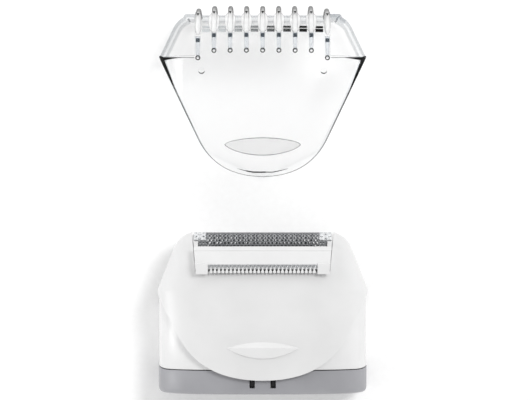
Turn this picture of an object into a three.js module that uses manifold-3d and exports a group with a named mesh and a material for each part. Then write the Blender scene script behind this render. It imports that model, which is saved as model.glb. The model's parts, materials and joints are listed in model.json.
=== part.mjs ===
// Shaving head of an epilator with its clear comb cap, as three.js meshes.
//
// Millimetres. The head lies on its back: +X to its right, +Y from the grey collar towards the foil,
// +Z out of its front face. The comb cap lies in line with it, beyond the foil, and slides along -Y
// over the head. y is measured from the collar's mating face until the last lines, which move the
// whole set so that its origin is the middle of its underside.
import * as THREE from "three";
import { mergeVertices } from "three/addons/utils/BufferGeometryUtils.js";
import Module from "manifold-3d";

const wasm = await Module();
wasm.setup();

// ---------------------------------------------------------------- driving dimensions

// Whole head
const WIDTH = 51.5; // across the collar
const DEPTH = 23.7; // collar, back to front
const AXIS_Z = 13; // height of the drive line and of the foil's middle above the back
const COLLAR_HEIGHT = 5.8; // at the front
const COLLAR_SIDE_RISE = 1.3; // how much higher the collar is at its two sides
const BODY_EXPOSED = 15.1; // body above the collar, up to the step inside the hood
const BODY_STEP_HEIGHT = 2.3; // body above that step
const WING_ABOVE_BODY = 2.1; // hood's widest level above the body's top
const HOOD_RISE = 14.3; // from that level to the top of the shoulders
const SHOULDER_WIDTH = 8.45; // from the collar's side in to the foil frame's side

// Walls and clearances
const COLLAR_WALL = 1.6;
const COLLAR_FLOOR = 2.2;
const BODY_WALL = 1.5;
const HOOD_WALL = 1.4;
const CAP_WALL = 1.3;
const GAP = 0.3; // between faces that meet or pass each other
const FINE_GAP = 0.15; // round a pin, or between thin pieces
const EDGE_RADIUS = 1.3; // collar's lower edge

// Drive
const THROW = 0.3; // eccentric pin off the drive line
const PIN_RADIUS = 0.9;
const SHAFT_RADIUS = 1.6;
const BUSH_WALL = 0.9;
const COUPLER_RADIUS = 5.6;
const CRANK_RADIUS = 2.8;
const PIVOT_ABOVE_PLATE = 9.8;
const SCREW_HEAD_RADIUS = 1.9;
const SCREW_RADIUS = 0.9;
const PLATE_THICKNESS = 1.8;

// Cutting system
const FOIL_RADIUS = 4;
const FOIL_SHEET = 0.3;
const FLOAT_TRAVEL = 1; // the foil frame sinks this far into the hood
const FRAME_TAPER = 1.1; // frame's side leans in this far from top to foot
const FRAME_HEIGHT = 10; // foil's top to the frame's lower edge
const LEG_WIDTH = 2.8;
const TRIMMER_PITCH = 0.965;
const TRIMMER_TOOTH = 0.45;
const TRIMMER_TOOTH_LENGTH = 1.55;
const TRIMMER_PLATE = 0.45;
const TANG_HALF = 1.2;
const LAMELLA_PITCH = 1.2;
const LAMELLA_THICKNESS = 0.45;

// Comb cap
const CAP_TRAVEL = 49.4; // from seated on the head to where it lies
const CAP_OVER_FOIL = 4.7; // roof above the foil's top when seated
const CAP_CORNER_BELOW_ROOF = 10.8;
const CAP_HALF_WIDTH = WIDTH / 2 - 0.15;
const CAP_ROOM = 1.3; // between the hood's front and the cap's inside
const FINGER_COUNT = 9;
const FINGER_PITCH = 3.93;
const FINGER_WIDTH = 1.4;
const FINGER_RISE = 1.7; // crown of a finger above the roof

// Grips
const GRIP_HALF_LENGTH = 8.8;
const GRIP_HEIGHT = 4.2;
const GRIP_PROUD = 0.9;

// ---------------------------------------------------------------- derived levels

const halfWidth = WIDTH / 2;
const bodyStep = COLLAR_HEIGHT + BODY_EXPOSED;
const bodyTop = bodyStep + BODY_STEP_HEIGHT;
const wingY = bodyTop + WING_ABOVE_BODY;
const hoodTop = wingY + HOOD_RISE;
const foilTop = hoodTop - 0.2;
const foilAxisY = foilTop - FOIL_RADIUS;
const wingHalf = halfWidth + 0.2;
const tongueBottom = COLLAR_HEIGHT - 2.2; // the hood's tongues reach down over the collar
const hoodFrontDepth = DEPTH - AXIS_Z + GAP + HOOD_WALL + 0.3; // drive line to the hood's front
const hoodBackDepth = AXIS_Z - 2.3; // drive line to the hood's back, clear of the cap's back wall
const bellyY = wingY / 2;
const frameHalf = halfWidth - SHOULDER_WIDTH;
const frameFoot = foilTop - FRAME_HEIGHT;
const plateTop = COLLAR_FLOOR + GAP + PLATE_THICKNESS;
const pivotY = plateTop + PIVOT_ABOVE_PLATE;
const capRoof = foilTop + CAP_OVER_FOIL;
const capCorner = capRoof - CAP_CORNER_BELOW_ROOF;
const capFront = AXIS_Z + hoodFrontDepth + CAP_ROOM + CAP_WALL;
const FAR = 200; // half-size of cutting blocks that run past everything

// ---------------------------------------------------------------- solids

const MERGE = 1e-4;

function solid(geometry) {
  const bare = geometry.index ? geometry.toNonIndexed() : geometry.clone();
  bare.deleteAttribute("normal");
  bare.deleteAttribute("uv");
  const merged = mergeVertices(bare, MERGE);
  return new wasm.Manifold(
    new wasm.Mesh({
      numProp: 3,
      vertProperties: merged.attributes.position.array,
      triVerts: new Uint32Array(merged.index.array),
    }),
  );
}

function geometryOf(manifold) {
  const mesh = manifold.getMesh();
  const geometry = new THREE.BufferGeometry();
  geometry.setAttribute("position", new THREE.BufferAttribute(mesh.vertProperties, 3));
  geometry.setIndex(new THREE.BufferAttribute(mesh.triVerts, 1));
  geometry.computeVertexNormals();
  return geometry;
}

const join = (...solids) => solids.reduce((whole, next) => whole.add(next));
const cut = (whole, ...tools) => tools.reduce((left, tool) => left.subtract(tool), whole);

function block(x0, x1, y0, y1, z0, z1) {
  const geometry = new THREE.BoxGeometry(x1 - x0, y1 - y0, z1 - z0);
  return solid(geometry.translate((x0 + x1) / 2, (y0 + y1) / 2, (z0 + z1) / 2));
}

// A shape drawn in X and Y, from z0 to z1.
function alongZ(shape, z0, z1, curveSegments = 12) {
  const geometry = new THREE.ExtrudeGeometry(shape, { depth: z1 - z0, bevelEnabled: false, curveSegments });
  return solid(geometry.translate(0, 0, z0));
}

const YZ_PLANE = new THREE.Matrix4().makeBasis(
  new THREE.Vector3(0, 1, 0),
  new THREE.Vector3(0, 0, 1),
  new THREE.Vector3(1, 0, 0),
);

// A shape drawn in Y and Z, from x0 to x1.
function alongX(shape, x0, x1, curveSegments = 12) {
  const geometry = new THREE.ExtrudeGeometry(shape, { depth: x1 - x0, bevelEnabled: false, curveSegments });
  return solid(geometry.applyMatrix4(YZ_PLANE).translate(x0, 0, 0));
}

// The same on one side of the middle: side is 1 for right and -1 for left, near and far its distances.
function sideBlock(side, near, far, ...yz) {
  const [x0, x1] = side > 0 ? [near, far] : [-far, -near];
  return block(x0, x1, ...yz);
}

function sideAlongX(side, shape, near, far) {
  return side > 0 ? alongX(shape, near, far) : alongX(shape, -far, -near);
}

// A round bar along Y on the drive line, or beside it.
function barY(radius, y0, y1, x = 0, z = AXIS_Z, sides = 24) {
  const geometry = new THREE.CylinderGeometry(radius, radius, y1 - y0, sides);
  return solid(geometry.translate(x, (y0 + y1) / 2, z));
}

function barZ(radius, z0, z1, x, y, sides = 20) {
  const geometry = new THREE.CylinderGeometry(radius, radius, z1 - z0, sides).rotateX(Math.PI / 2);
  return solid(geometry.translate(x, y, (z0 + z1) / 2));
}

function polygon(points) {
  return new THREE.Shape(points.map(([u, v]) => new THREE.Vector2(u, v)));
}

// Cross-section of the housings at one level: a softly bowed front, round sides and a flat back.
const FRONT_POWER = 2 / 2.8;
const BACK_POWER = 2 / 12;
const BACK_OVERSHOOT = 1.01;
const SECTION_POINTS = 44;

function section({ half, back, front }) {
  const middle = (back + front) / 2;
  const reach = (front - back) / 2;
  return Array.from({ length: SECTION_POINTS }, (_, i) => {
    const turn = (2 * Math.PI * i) / SECTION_POINTS;
    const across = Math.cos(turn);
    const along = Math.sin(turn);
    if (along >= 0) {
      return [
        half * Math.sign(across) * Math.abs(across) ** FRONT_POWER,
        middle + reach * along ** FRONT_POWER,
      ];
    }
    return [
      half * Math.sign(across) * Math.abs(across) ** BACK_POWER,
      Math.max(back, middle - BACK_OVERSHOOT * reach * Math.abs(along) ** BACK_POWER),
    ];
  });
}

// A closed body through sections at rising levels, each {y, half, back, front}.
function loft(levels) {
  const positions = [];
  const triangles = [];
  levels.forEach((level) => section(level).forEach(([x, z]) => positions.push(x, level.y, z)));
  const bottomCentre = positions.length / 3;
  const first = levels[0];
  const last = levels[levels.length - 1];
  positions.push(0, first.y, (first.back + first.front) / 2);
  positions.push(0, last.y, (last.back + last.front) / 2);
  const top = (levels.length - 1) * SECTION_POINTS;
  for (let j = 0; j < SECTION_POINTS; j++) {
    const k = (j + 1) % SECTION_POINTS;
    for (let i = 0; i < levels.length - 1; i++) {
      const low = i * SECTION_POINTS;
      const high = low + SECTION_POINTS;
      triangles.push(low + j, high + j, high + k, low + j, high + k, low + k);
    }
    triangles.push(bottomCentre, j, k, bottomCentre + 1, top + k, top + j);
  }
  const geometry = new THREE.BufferGeometry();
  geometry.setAttribute("position", new THREE.Float32BufferAttribute(positions, 3));
  geometry.setIndex(triangles);
  return solid(geometry);
}

// ---------------------------------------------------------------- shared outlines

const SHIELD_LEAN = 0.485; // how far a shield's straight side comes in for each mm it goes down
const hoodShield = { half: wingHalf, cornerY: wingY, bottomY: tongueBottom, turnHeight: 11.3 };
const capShield = { half: CAP_HALF_WIDTH, cornerY: capCorner, bottomY: tongueBottom, turnHeight: 9.3 };
const backTongueTop = bodyStep + GAP;
const backShield = {
  half: CAP_HALF_WIDTH - (capCorner - backTongueTop) * SHIELD_LEAN, // on the line of the cap's sides
  cornerY: backTongueTop,
  bottomY: tongueBottom,
  turnHeight: 9.3,
};

// Front view of a shield: straight sides from its two corners, then one round end at the bottom.
// Everything above the corners is kept, so the shape trims a shell to a tongue.
function shieldShape({ half, cornerY, bottomY, turnHeight }, grow = 0) {
  const turnY = bottomY + turnHeight;
  const turnX = half - (cornerY - turnY) * SHIELD_LEAN;
  const endX = half - (cornerY - bottomY) * SHIELD_LEAN;
  const shape = new THREE.Shape();
  shape.moveTo(-FAR, cornerY - grow);
  shape.lineTo(-half - grow, cornerY - grow);
  shape.lineTo(-turnX - grow, turnY - grow);
  shape.quadraticCurveTo(-endX - grow, bottomY - grow, 0, bottomY - grow);
  shape.quadraticCurveTo(endX + grow, bottomY - grow, turnX + grow, turnY - grow);
  shape.lineTo(half + grow, cornerY - grow);
  shape.lineTo(FAR, cornerY - grow);
  shape.lineTo(FAR, FAR);
  shape.lineTo(-FAR, FAR);
  return shape;
}

// Lens outline of a grip, centred on y.
function gripShape(y, half, height) {
  const shape = new THREE.Shape();
  shape.moveTo(-half, y);
  shape.quadraticCurveTo(0, y - 1.2 * height, half, y);
  shape.quadraticCurveTo(0, y + 0.8 * height, -half, y);
  return shape;
}

// Right edge of the hood in front view, from its widest level over the shoulder to the top.
function shoulderEdge(half, fromY, toY, topHalf, steps) {
  const rise = toY - fromY;
  const run = half - topHalf;
  const edge = new THREE.Path();
  edge.moveTo(half, fromY);
  edge.lineTo(half - 0.42 * run, fromY + 0.68 * rise);
  edge.quadraticCurveTo(half - 0.58 * run, fromY + 0.94 * rise, topHalf, toY);
  return edge.getPoints(steps);
}

// How much of its full depth the hood keeps at a level: all of it up to the belly, then an ellipse.
function bulge(y) {
  const climb = Math.max(0, y - bellyY) / (hoodTop + 0.25 - bellyY);
  return Math.sqrt(1 - climb * climb);
}

function hoodLevels(inset) {
  const topHalf = frameHalf - 0.3;
  const edge = shoulderEdge(wingHalf, wingY, hoodTop, topHalf, 7);
  const below = [0, 0.5, 1].map((share) => [wingHalf, share * bellyY]);
  const between = [0.35, 0.7].map((share) => [wingHalf, bellyY + share * (wingY - bellyY)]);
  const points = [...below, ...between, ...edge.map((p) => [p.x, p.y])];
  return points.map(([half, y]) => ({
    y: y === 0 ? -2 * inset : y - (y > wingY ? (inset * (y - wingY)) / HOOD_RISE : 0),
    half: half - inset,
    back: AXIS_Z - hoodBackDepth * bulge(y) + inset,
    front: AXIS_Z + hoodFrontDepth * bulge(y) - inset,
  }));
}

const bodySection = (inset) => ({
  half: halfWidth - 0.1 - inset,
  back: inset,
  front: DEPTH - 0.1 - inset,
});

// ---------------------------------------------------------------- base: collar, body and chassis

const screwX = halfWidth - 8;
const screwZs = [AXIS_Z - 7, AXIS_Z + 3.5];
const latchX = 2.55; // middle of each latch leg
const LATCH_LEG = 1;
const LATCH_TRAVEL = 0.6;
const latchFront = DEPTH - 0.55;
const latchBarBack = latchFront - 3.4;

function baseCollar() {
  const outer = (y, inset) => ({ y, half: halfWidth - inset, back: inset, front: DEPTH - inset });
  const roundedEdge = [1, 0.75, 0.5, 0.25, 0].map((share) => {
    const turn = (share * Math.PI) / 2;
    return outer(EDGE_RADIUS * (1 - Math.sin(turn)), EDGE_RADIUS * (1 - Math.cos(turn)));
  });
  const skin = loft([...roundedEdge, outer(COLLAR_HEIGHT + COLLAR_SIDE_RISE + 1, 0)]);
  const inside = loft([
    { y: COLLAR_FLOOR, ...bodySection(COLLAR_WALL) },
    { y: FAR, ...bodySection(COLLAR_WALL) },
  ]);
  const tools = [inside, alongZ(aboveCollar(0), -1, DEPTH + 1), backPocket()];
  tools.push(barY(COUPLER_RADIUS + 0.6, -1, COLLAR_FLOOR + 1));
  for (const side of [-1, 1]) {
    tools.push(
      block(side * latchX - 0.65, side * latchX + 0.65, 1.6, COLLAR_HEIGHT + 3, DEPTH - 5, DEPTH + 1),
      block(side * 13 - 2.6, side * 13 + 2.6, -1, 1.2, AXIS_Z - 1.2, AXIS_Z + 1.2),
    );
    for (const z of screwZs) {
      tools.push(
        barY(SCREW_HEAD_RADIUS + GAP, -1, 1.5, side * screwX, z),
        barY(SCREW_RADIUS + GAP, 0, COLLAR_FLOOR + 1, side * screwX, z),
      );
    }
  }
  return cut(skin, ...tools);
}

// Front view of the space above the collar: level at the front, raised at the two sides.
function aboveCollar(lift) {
  const y = COLLAR_HEIGHT + lift;
  const turn = halfWidth - 2.6;
  const shape = new THREE.Shape();
  shape.moveTo(-FAR, y + COLLAR_SIDE_RISE);
  shape.lineTo(-halfWidth - 1, y + COLLAR_SIDE_RISE);
  shape.quadraticCurveTo(-halfWidth + 0.5, y, -turn, y);
  shape.lineTo(turn, y);
  shape.quadraticCurveTo(halfWidth - 0.5, y, halfWidth + 1, y + COLLAR_SIDE_RISE);
  shape.lineTo(FAR, y + COLLAR_SIDE_RISE);
  shape.lineTo(FAR, FAR);
  shape.lineTo(-FAR, FAR);
  return shape;
}

// The hood's back tongue lies in this shield-shaped pocket in the back of the collar and body, and the
// cap's back wall under it. What is left beside the pocket are the two rails that the head lies on.
const pocketDepth = AXIS_Z - hoodBackDepth + HOOD_WALL + GAP;

function backPocket() {
  return alongZ(shieldShape(backShield, GAP), -5, pocketDepth);
}

function bodyShell() {
  const sleeve = loft([
    { y: 0, ...bodySection(0) },
    { y: bodyStep, ...bodySection(0) },
  ]);
  const neckLevels = block(-FAR, FAR, bodyStep - 2, bodyTop, -FAR, FAR);
  const neck = loft(hoodLevels(HOOD_WALL + GAP)).intersect(neckLevels);
  const outer = join(sleeve, neck, bodyShoulders());
  const shown = outer.intersect(alongZ(aboveCollar(0.25), -1, DEPTH + 1));
  const skirt = loft([
    { y: plateTop + GAP, ...bodySection(COLLAR_WALL + GAP) },
    { y: COLLAR_HEIGHT + 2, ...bodySection(COLLAR_WALL + GAP) },
  ]);
  const inside = loft([
    { y: -1, ...bodySection(COLLAR_WALL + GAP + BODY_WALL) },
    { y: bodyTop - BODY_WALL, ...bodySection(COLLAR_WALL + GAP + BODY_WALL) },
  ]);
  const rockerSlot = block(-5.2, 5.2, 0, FAR, AXIS_Z - 3.2, AXIS_Z + 3.2);
  const latchRoom = block(-8, 8, 0, COLLAR_HEIGHT + 1.2, AXIS_Z, DEPTH - COLLAR_WALL + 0.2);
  const shell = join(cut(join(shown, skirt), inside), pocketFloor(shown));
  const bosses = [-1, 1].flatMap((side) =>
    screwZs.map((z) => barY(SCREW_HEAD_RADIUS + 0.6, plateTop + GAP, bodyTop - 0.5, side * screwX, z)),
  );
  const holes = [-1, 1].flatMap((side) =>
    screwZs.map((z) => barY(SCREW_RADIUS + FINE_GAP, 0, bodyStep - 8, side * screwX, z)),
  );
  const filled = join(shell, ...bosses.map((boss) => boss.intersect(outer)));
  return cut(filled, backPocket(), rockerSlot, latchRoom, ...holes);
}

// Beside the hood's tongue the sleeve carries on up towards the hood's widest point.
function bodyShoulders() {
  const levels = [bodyStep - 1, bodyTop].map((y) => ({ y, ...bodySection(0) }));
  return cut(loft(levels), alongZ(shieldShape(hoodShield, GAP), -FAR, FAR));
}

// Wall behind the pocket for the hood's back tongue.
function pocketFloor(body) {
  const wall = block(-FAR, FAR, COLLAR_HEIGHT + 0.6, bodyTop, pocketDepth, pocketDepth + BODY_WALL);
  return wall.intersect(body);
}

function basePlate() {
  const inset = COLLAR_WALL + GAP;
  const plate = loft([
    { y: COLLAR_FLOOR + GAP, ...bodySection(inset) },
    { y: plateTop, ...bodySection(inset) },
  ]);
  const tools = [
    barY(SHAFT_RADIUS + BUSH_WALL + FINE_GAP, 0, FAR),
    backPocket(),
    block(-7.5, 7.5, 0, FAR, latchBarBack - LATCH_TRAVEL - GAP, FAR),
  ];
  for (const side of [-1, 1]) {
    for (const z of screwZs) tools.push(barY(SCREW_RADIUS + GAP, 0, FAR, side * screwX, z));
  }
  return cut(plate, ...tools);
}

function bearingBush() {
  const bottom = COLLAR_FLOOR + GAP;
  const flange = 0.6;
  const sleeve = join(
    barY(SHAFT_RADIUS + BUSH_WALL, bottom, plateTop + flange),
    barY(CRANK_RADIUS + 0.3, plateTop + FINE_GAP, plateTop + flange),
  );
  return cut(sleeve, barY(SHAFT_RADIUS + 0.05, 0, FAR));
}

const earInner = CRANK_RADIUS + 0.6; // from the drive line to the inside of each ear
const EAR_THICKNESS = 1.2;

function rockerBracket() {
  const foot = plateTop + GAP;
  const ear = new THREE.Shape();
  ear.moveTo(-5.5, foot);
  ear.lineTo(5.5, foot);
  ear.lineTo(2.4, pivotY);
  ear.absarc(0, pivotY, 2.4, 0, Math.PI);
  const ears = [-1, 1].map((side) => {
    const inner = AXIS_Z + side * earInner;
    const outer = inner + side * EAR_THICKNESS;
    return alongZ(ear, Math.min(inner, outer), Math.max(inner, outer));
  });
  const [back, front] = [AXIS_Z - earInner - EAR_THICKNESS, AXIS_Z + earInner + EAR_THICKNESS];
  const ties = [-1, 1].map((side) => sideBlock(side, 4.6, 6.4, foot, foot + 1, back, front));
  const hole = barZ(PIN_RADIUS + FINE_GAP, 0, FAR, 0, pivotY);
  return cut(join(...ears, ...ties), hole);
}

function pivotPin() {
  const reach = earInner + EAR_THICKNESS + 0.5;
  return barZ(PIN_RADIUS, AXIS_Z - reach, AXIS_Z + reach, 0, pivotY);
}

function rockerSeal() {
  const outer = block(-5, 5, bodyTop - BODY_WALL, bodyTop + 0.5, AXIS_Z - 3, AXIS_Z + 3);
  const lip = block(-6, 6, bodyTop + FINE_GAP, bodyTop + 0.7, AXIS_Z - 4, AXIS_Z + 4);
  const way = block(-3.4, 3.4, 0, FAR, AXIS_Z - 1.7, AXIS_Z + 1.7);
  return cut(join(outer, lip), way);
}

function screw(x, z) {
  const head = barY(SCREW_HEAD_RADIUS, 0.4, 1.4, x, z, 20);
  const shank = barY(SCREW_RADIUS, 1.2, bodyStep - 9, x, z, 16);
  const cross = [
    block(x - 1.1, x + 1.1, 0, 0.9, z - 0.22, z + 0.22),
    block(x - 0.22, x + 0.22, 0, 0.9, z - 1.1, z + 1.1),
  ];
  return cut(join(head, shank), ...cross);
}

// ---------------------------------------------------------------- latch behind the collar's two slots

const latchSpringY = plateTop + 1.5;

function releaseLatch() {
  const [near, far, top] = [latchX - LATCH_LEG / 2, latchX + LATCH_LEG / 2, COLLAR_HEIGHT - 0.4];
  const legs = [-1, 1].map((side) => sideBlock(side, near, far, 1.9, top, latchBarBack, latchFront));
  const bar = block(-5.6, 5.6, plateTop - 1.2, COLLAR_HEIGHT + 0.8, latchBarBack, latchBarBack + 1.4);
  const peg = barZ(0.6, latchBarBack - 0.7, latchBarBack + 0.2, 0, latchSpringY, 12);
  return join(...legs, bar, peg);
}

// A coil along one axis: a wire of a few sides swept round a helix, with flat-lying ends.
class Helix extends THREE.Curve {
  constructor(radius, length, turns) {
    super();
    Object.assign(this, { radius, length, turns });
  }
  getPoint(t) {
    const turn = 2 * Math.PI * this.turns * t;
    return new THREE.Vector3(this.radius * Math.cos(turn), this.length * t, this.radius * Math.sin(turn));
  }
}

function coil(radius, wire, length, turns) {
  const section = new THREE.Shape();
  for (let i = 0; i < 5; i++) {
    const a = (2 * Math.PI * i) / 5;
    const [u, v] = [(wire / 2) * Math.cos(a), (wire / 2) * Math.sin(a)];
    if (i) section.lineTo(u, v);
    else section.moveTo(u, v);
  }
  const path = new Helix(radius, length - wire, turns);
  const geometry = new THREE.ExtrudeGeometry(section, { steps: Math.round(turns * 11), extrudePath: path });
  return geometry.translate(0, wire / 2, 0);
}

function latchSpring() {
  const seat = AXIS_Z + earInner + EAR_THICKNESS + 0.1;
  const length = latchBarBack - 0.1 - seat;
  return solid(coil(1, 0.25, length, 3).rotateX(Math.PI / 2).translate(0, latchSpringY, seat));
}

// ---------------------------------------------------------------- eccentric

const crankBottom = plateTop + 0.9;
const crankTop = crankBottom + 1.2;
const pinTop = crankTop + 3;

function driveCoupler() {
  const disc = barY(COUPLER_RADIUS, 0.5, COLLAR_FLOOR - 0.1);
  const shaft = barY(SHAFT_RADIUS, COLLAR_FLOOR - 0.2, crankBottom + 0.2);
  const crank = barY(CRANK_RADIUS, crankBottom, crankTop);
  const socket = [
    block(-3.4, 3.4, 0, 1.9, AXIS_Z - 0.9, AXIS_Z + 0.9),
    block(-0.9, 0.9, 0, 1.9, AXIS_Z - 3.4, AXIS_Z + 3.4),
  ];
  const pinHole = barY(PIN_RADIUS + 0.05, crankBottom + 0.3, FAR, 0, AXIS_Z + THROW, 20);
  return cut(join(disc, shaft, crank), ...socket, pinHole);
}

function eccentricPin() {
  return barY(PIN_RADIUS, crankBottom + 0.35, pinTop, 0, AXIS_Z + THROW, 20);
}

// ---------------------------------------------------------------- rocker

const forkBottom = crankTop + 0.4;
const pegRadius = 1.1;
const carrierTop = foilAxisY - 3;
const pegY = carrierTop - FLOAT_TRAVEL - pegRadius - 1.6;
// Wide enough for the pin at one end of its throw and the fork's foot at the other.
const forkInner = PIN_RADIUS + 2.25 * THROW + 0.12;
const stroke = (THROW * (pegY - pivotY)) / (pivotY - (forkBottom + pinTop) / 2); // cutter, to each side

function rockerArm() {
  const [back, front] = [AXIS_Z - 2.2, AXIS_Z + 2.2];
  const forkOuter = forkInner + 1.4;
  const tineTop = pivotY - 1.4;
  const tines = [-1, 1].map((side) =>
    sideBlock(side, forkInner, forkOuter, forkBottom, tineTop, back, front),
  );
  const yoke = block(-forkOuter, forkOuter, pinTop + 0.4, pivotY - 1, back, front);
  const hub = barZ(2.3, AXIS_Z - earInner + GAP, AXIS_Z + earInner - GAP, 0, pivotY);
  const stem = block(-1.3, 1.3, pivotY, pegY, AXIS_Z - 1.1, AXIS_Z + 1.1);
  const peg = barZ(pegRadius, AXIS_Z - 1.5, AXIS_Z + 1.5, 0, pegY);
  // Under the peg the stem is slim, so that the carrier's cheeks can come down over it.
  const waistFoot = pegY - 2.1 - FLOAT_TRAVEL;
  const waist = [-1, 1].map((side) =>
    sideBlock(side, pegRadius * 0.8, 2, waistFoot, pegY + 0.1, 0, FAR),
  );
  const arm = join(cut(join(yoke, stem), ...waist), ...tines, hub, peg);
  return cut(arm, barZ(PIN_RADIUS + FINE_GAP, 0, FAR, 0, pivotY));
}

// ---------------------------------------------------------------- hood

// Front view of the foil frame: its sides lean in towards the foot.
function frameTrapezoid(grow, footY = frameFoot) {
  const foot = frameHalf - FRAME_TAPER + grow;
  const top = frameHalf + grow;
  return polygon([[-foot, footY], [foot, footY], [top, foilTop], [top, FAR], [-top, FAR], [-top, foilTop]]);
}

const frontSill = frameFoot + 0.5; // top edge of the hood's front wall, hidden behind the trimmer
const backSill = frontSill + 1.9;

function hood() {
  const shell = cut(loft(hoodLevels(0)), loft(hoodLevels(HOOD_WALL)), bodyRoom());
  const backTongue = alongZ(shieldShape(backShield), -5, pocketDepth);
  const frontTongue = alongZ(shieldShape(hoodShield), pocketDepth, FAR);
  const frontView = alongZ(shieldShape(hoodShield), -5, FAR);
  const trimmed = shell.intersect(join(backTongue, frontTongue)).intersect(frontView);
  const opening = frameTrapezoid(GAP);
  return cut(
    trimmed,
    alongZ(opening, AXIS_Z, FAR).intersect(block(-FAR, FAR, frontSill, FAR, 0, FAR)),
    alongZ(opening, -FAR, AXIS_Z + 0.1).intersect(block(-FAR, FAR, backSill, FAR, -FAR, FAR)),
  );
}

// The body fills this part of the hood, so the hood's inside follows it.
function bodyRoom() {
  const room = { half: halfWidth - 0.1 + GAP, back: -1, front: DEPTH - 0.1 + GAP };
  return loft([{ y: -1, ...room }, { y: bodyStep + GAP, ...room }]).intersect(
    block(-FAR, FAR, -5, FAR, AXIS_Z - hoodBackDepth + HOOD_WALL, FAR),
  );
}

function grip(y, skinZ, side) {
  const lens = gripShape(y, GRIP_HALF_LENGTH, GRIP_HEIGHT);
  const [low, high] = side > 0 ? [skinZ - 1, skinZ + GRIP_PROUD] : [skinZ - GRIP_PROUD, skinZ + 1];
  return alongZ(lens, low, high, 10);
}

const gripY = tongueBottom + 7.4;

function hoodFront() {
  const half = hood().intersect(block(-FAR, FAR, -FAR, FAR, AXIS_Z + GAP / 2, FAR));
  return join(half, grip(gripY, AXIS_Z + hoodFrontDepth - 0.35, 1));
}

function hoodRear() {
  return hood().intersect(block(-FAR, FAR, -FAR, FAR, -FAR, AXIS_Z - GAP / 2));
}

const bridgeBottom = bodyTop + 1.4;
const bridgeTop = bridgeBottom + 1.3;

function hoodBridge() {
  const inset = HOOD_WALL + GAP;
  const at = (y) => ({
    y,
    half: wingHalf - inset - 0.6,
    back: AXIS_Z - hoodBackDepth * bulge(bridgeTop) + inset,
    front: AXIS_Z + hoodFrontDepth * bulge(bridgeTop) - inset,
  });
  const plate = loft([at(bridgeBottom), at(bridgeTop)]);
  const seats = [-1, 1].map((side) => barY(0.8, bridgeTop - 0.2, bridgeTop + 1, side * springX, AXIS_Z, 14));
  return cut(join(plate, ...seats), block(-6.5, 6.5, 0, FAR, AXIS_Z - 3.6, AXIS_Z + 3.6));
}

const springX = frameHalf - 4.4;

function floatSpring(side) {
  const length = frameFoot + 0.2 - bridgeTop - 2 * 0.1;
  return solid(coil(1.5, 0.35, length, 3.5).translate(side * springX, bridgeTop + 0.1, AXIS_Z));
}

// ---------------------------------------------------------------- foil cassette

const foilHalf = frameHalf - 0.2;
const wellHalf = frameHalf - 1.4; // the cutter's well in the frame
const shoulderFoilY = foilTop - 2; // the foil is full length above this level
const legFront = hoodFrontDepth - 1; // from the drive line
const tangY = frontSill + FLOAT_TRAVEL + FINE_GAP; // the trimmer's tang passes just above the hood's edge
const TANG_THICKNESS = 0.45;
const faceFoot = tangY + TANG_THICKNESS + 0.1; // lower edge of the frame's sloping face
const legBack = hoodFrontDepth * bulge(frameFoot - FLOAT_TRAVEL) + GAP;
const trimmerHalf = frameHalf - FRAME_TAPER - LEG_WIDTH;
const cutterRadius = FOIL_RADIUS - FOIL_SHEET - FINE_GAP;
const CLIP_WIDTH = 2.2;

function foilArch(radius, footY) {
  const shape = new THREE.Shape();
  shape.moveTo(footY, AXIS_Z - radius);
  shape.lineTo(foilAxisY, AXIS_Z - radius);
  shape.absarc(foilAxisY, AXIS_Z, radius, -Math.PI / 2, Math.PI / 2);
  shape.lineTo(footY, AXIS_Z + radius);
  return shape;
}

function shaverFoil() {
  const sheet = cut(
    alongX(foilArch(FOIL_RADIUS, foilAxisY - 2), -foilHalf, foilHalf),
    alongX(foilArch(FOIL_RADIUS - FOIL_SHEET, foilAxisY - 3), -FAR, FAR),
  );
  const corners = [-1, 1].map((side) =>
    sideBlock(side, wellHalf - FINE_GAP, FAR, 0, shoulderFoilY, -FAR, FAR),
  );
  return cut(sheet, ...corners);
}

// Side view of the frame: foil lip, sloping face, and a back that stays inside the hood.
function frameProfile(frontReach) {
  const lipY = foilAxisY + 0.6;
  return polygon([
    [frameFoot + 0.3, AXIS_Z - hoodBackDepth * 0.5],
    [backSill + 0.4, AXIS_Z - hoodBackDepth * 0.5],
    [lipY, AXIS_Z - FOIL_RADIUS - 0.6],
    [lipY, AXIS_Z + FOIL_RADIUS + 0.6],
    [lipY - 0.8, AXIS_Z + FOIL_RADIUS + 1.4],
    [lipY - 1.1, AXIS_Z + FOIL_RADIUS + 1.15],
    [faceFoot + 0.2, AXIS_Z + frontReach],
    [faceFoot, AXIS_Z + frontReach - 0.4],
    [faceFoot, AXIS_Z + FOIL_RADIUS + 1.4],
    [frameFoot + 0.3, AXIS_Z + FOIL_RADIUS + 1.4],
  ]);
}

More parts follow.
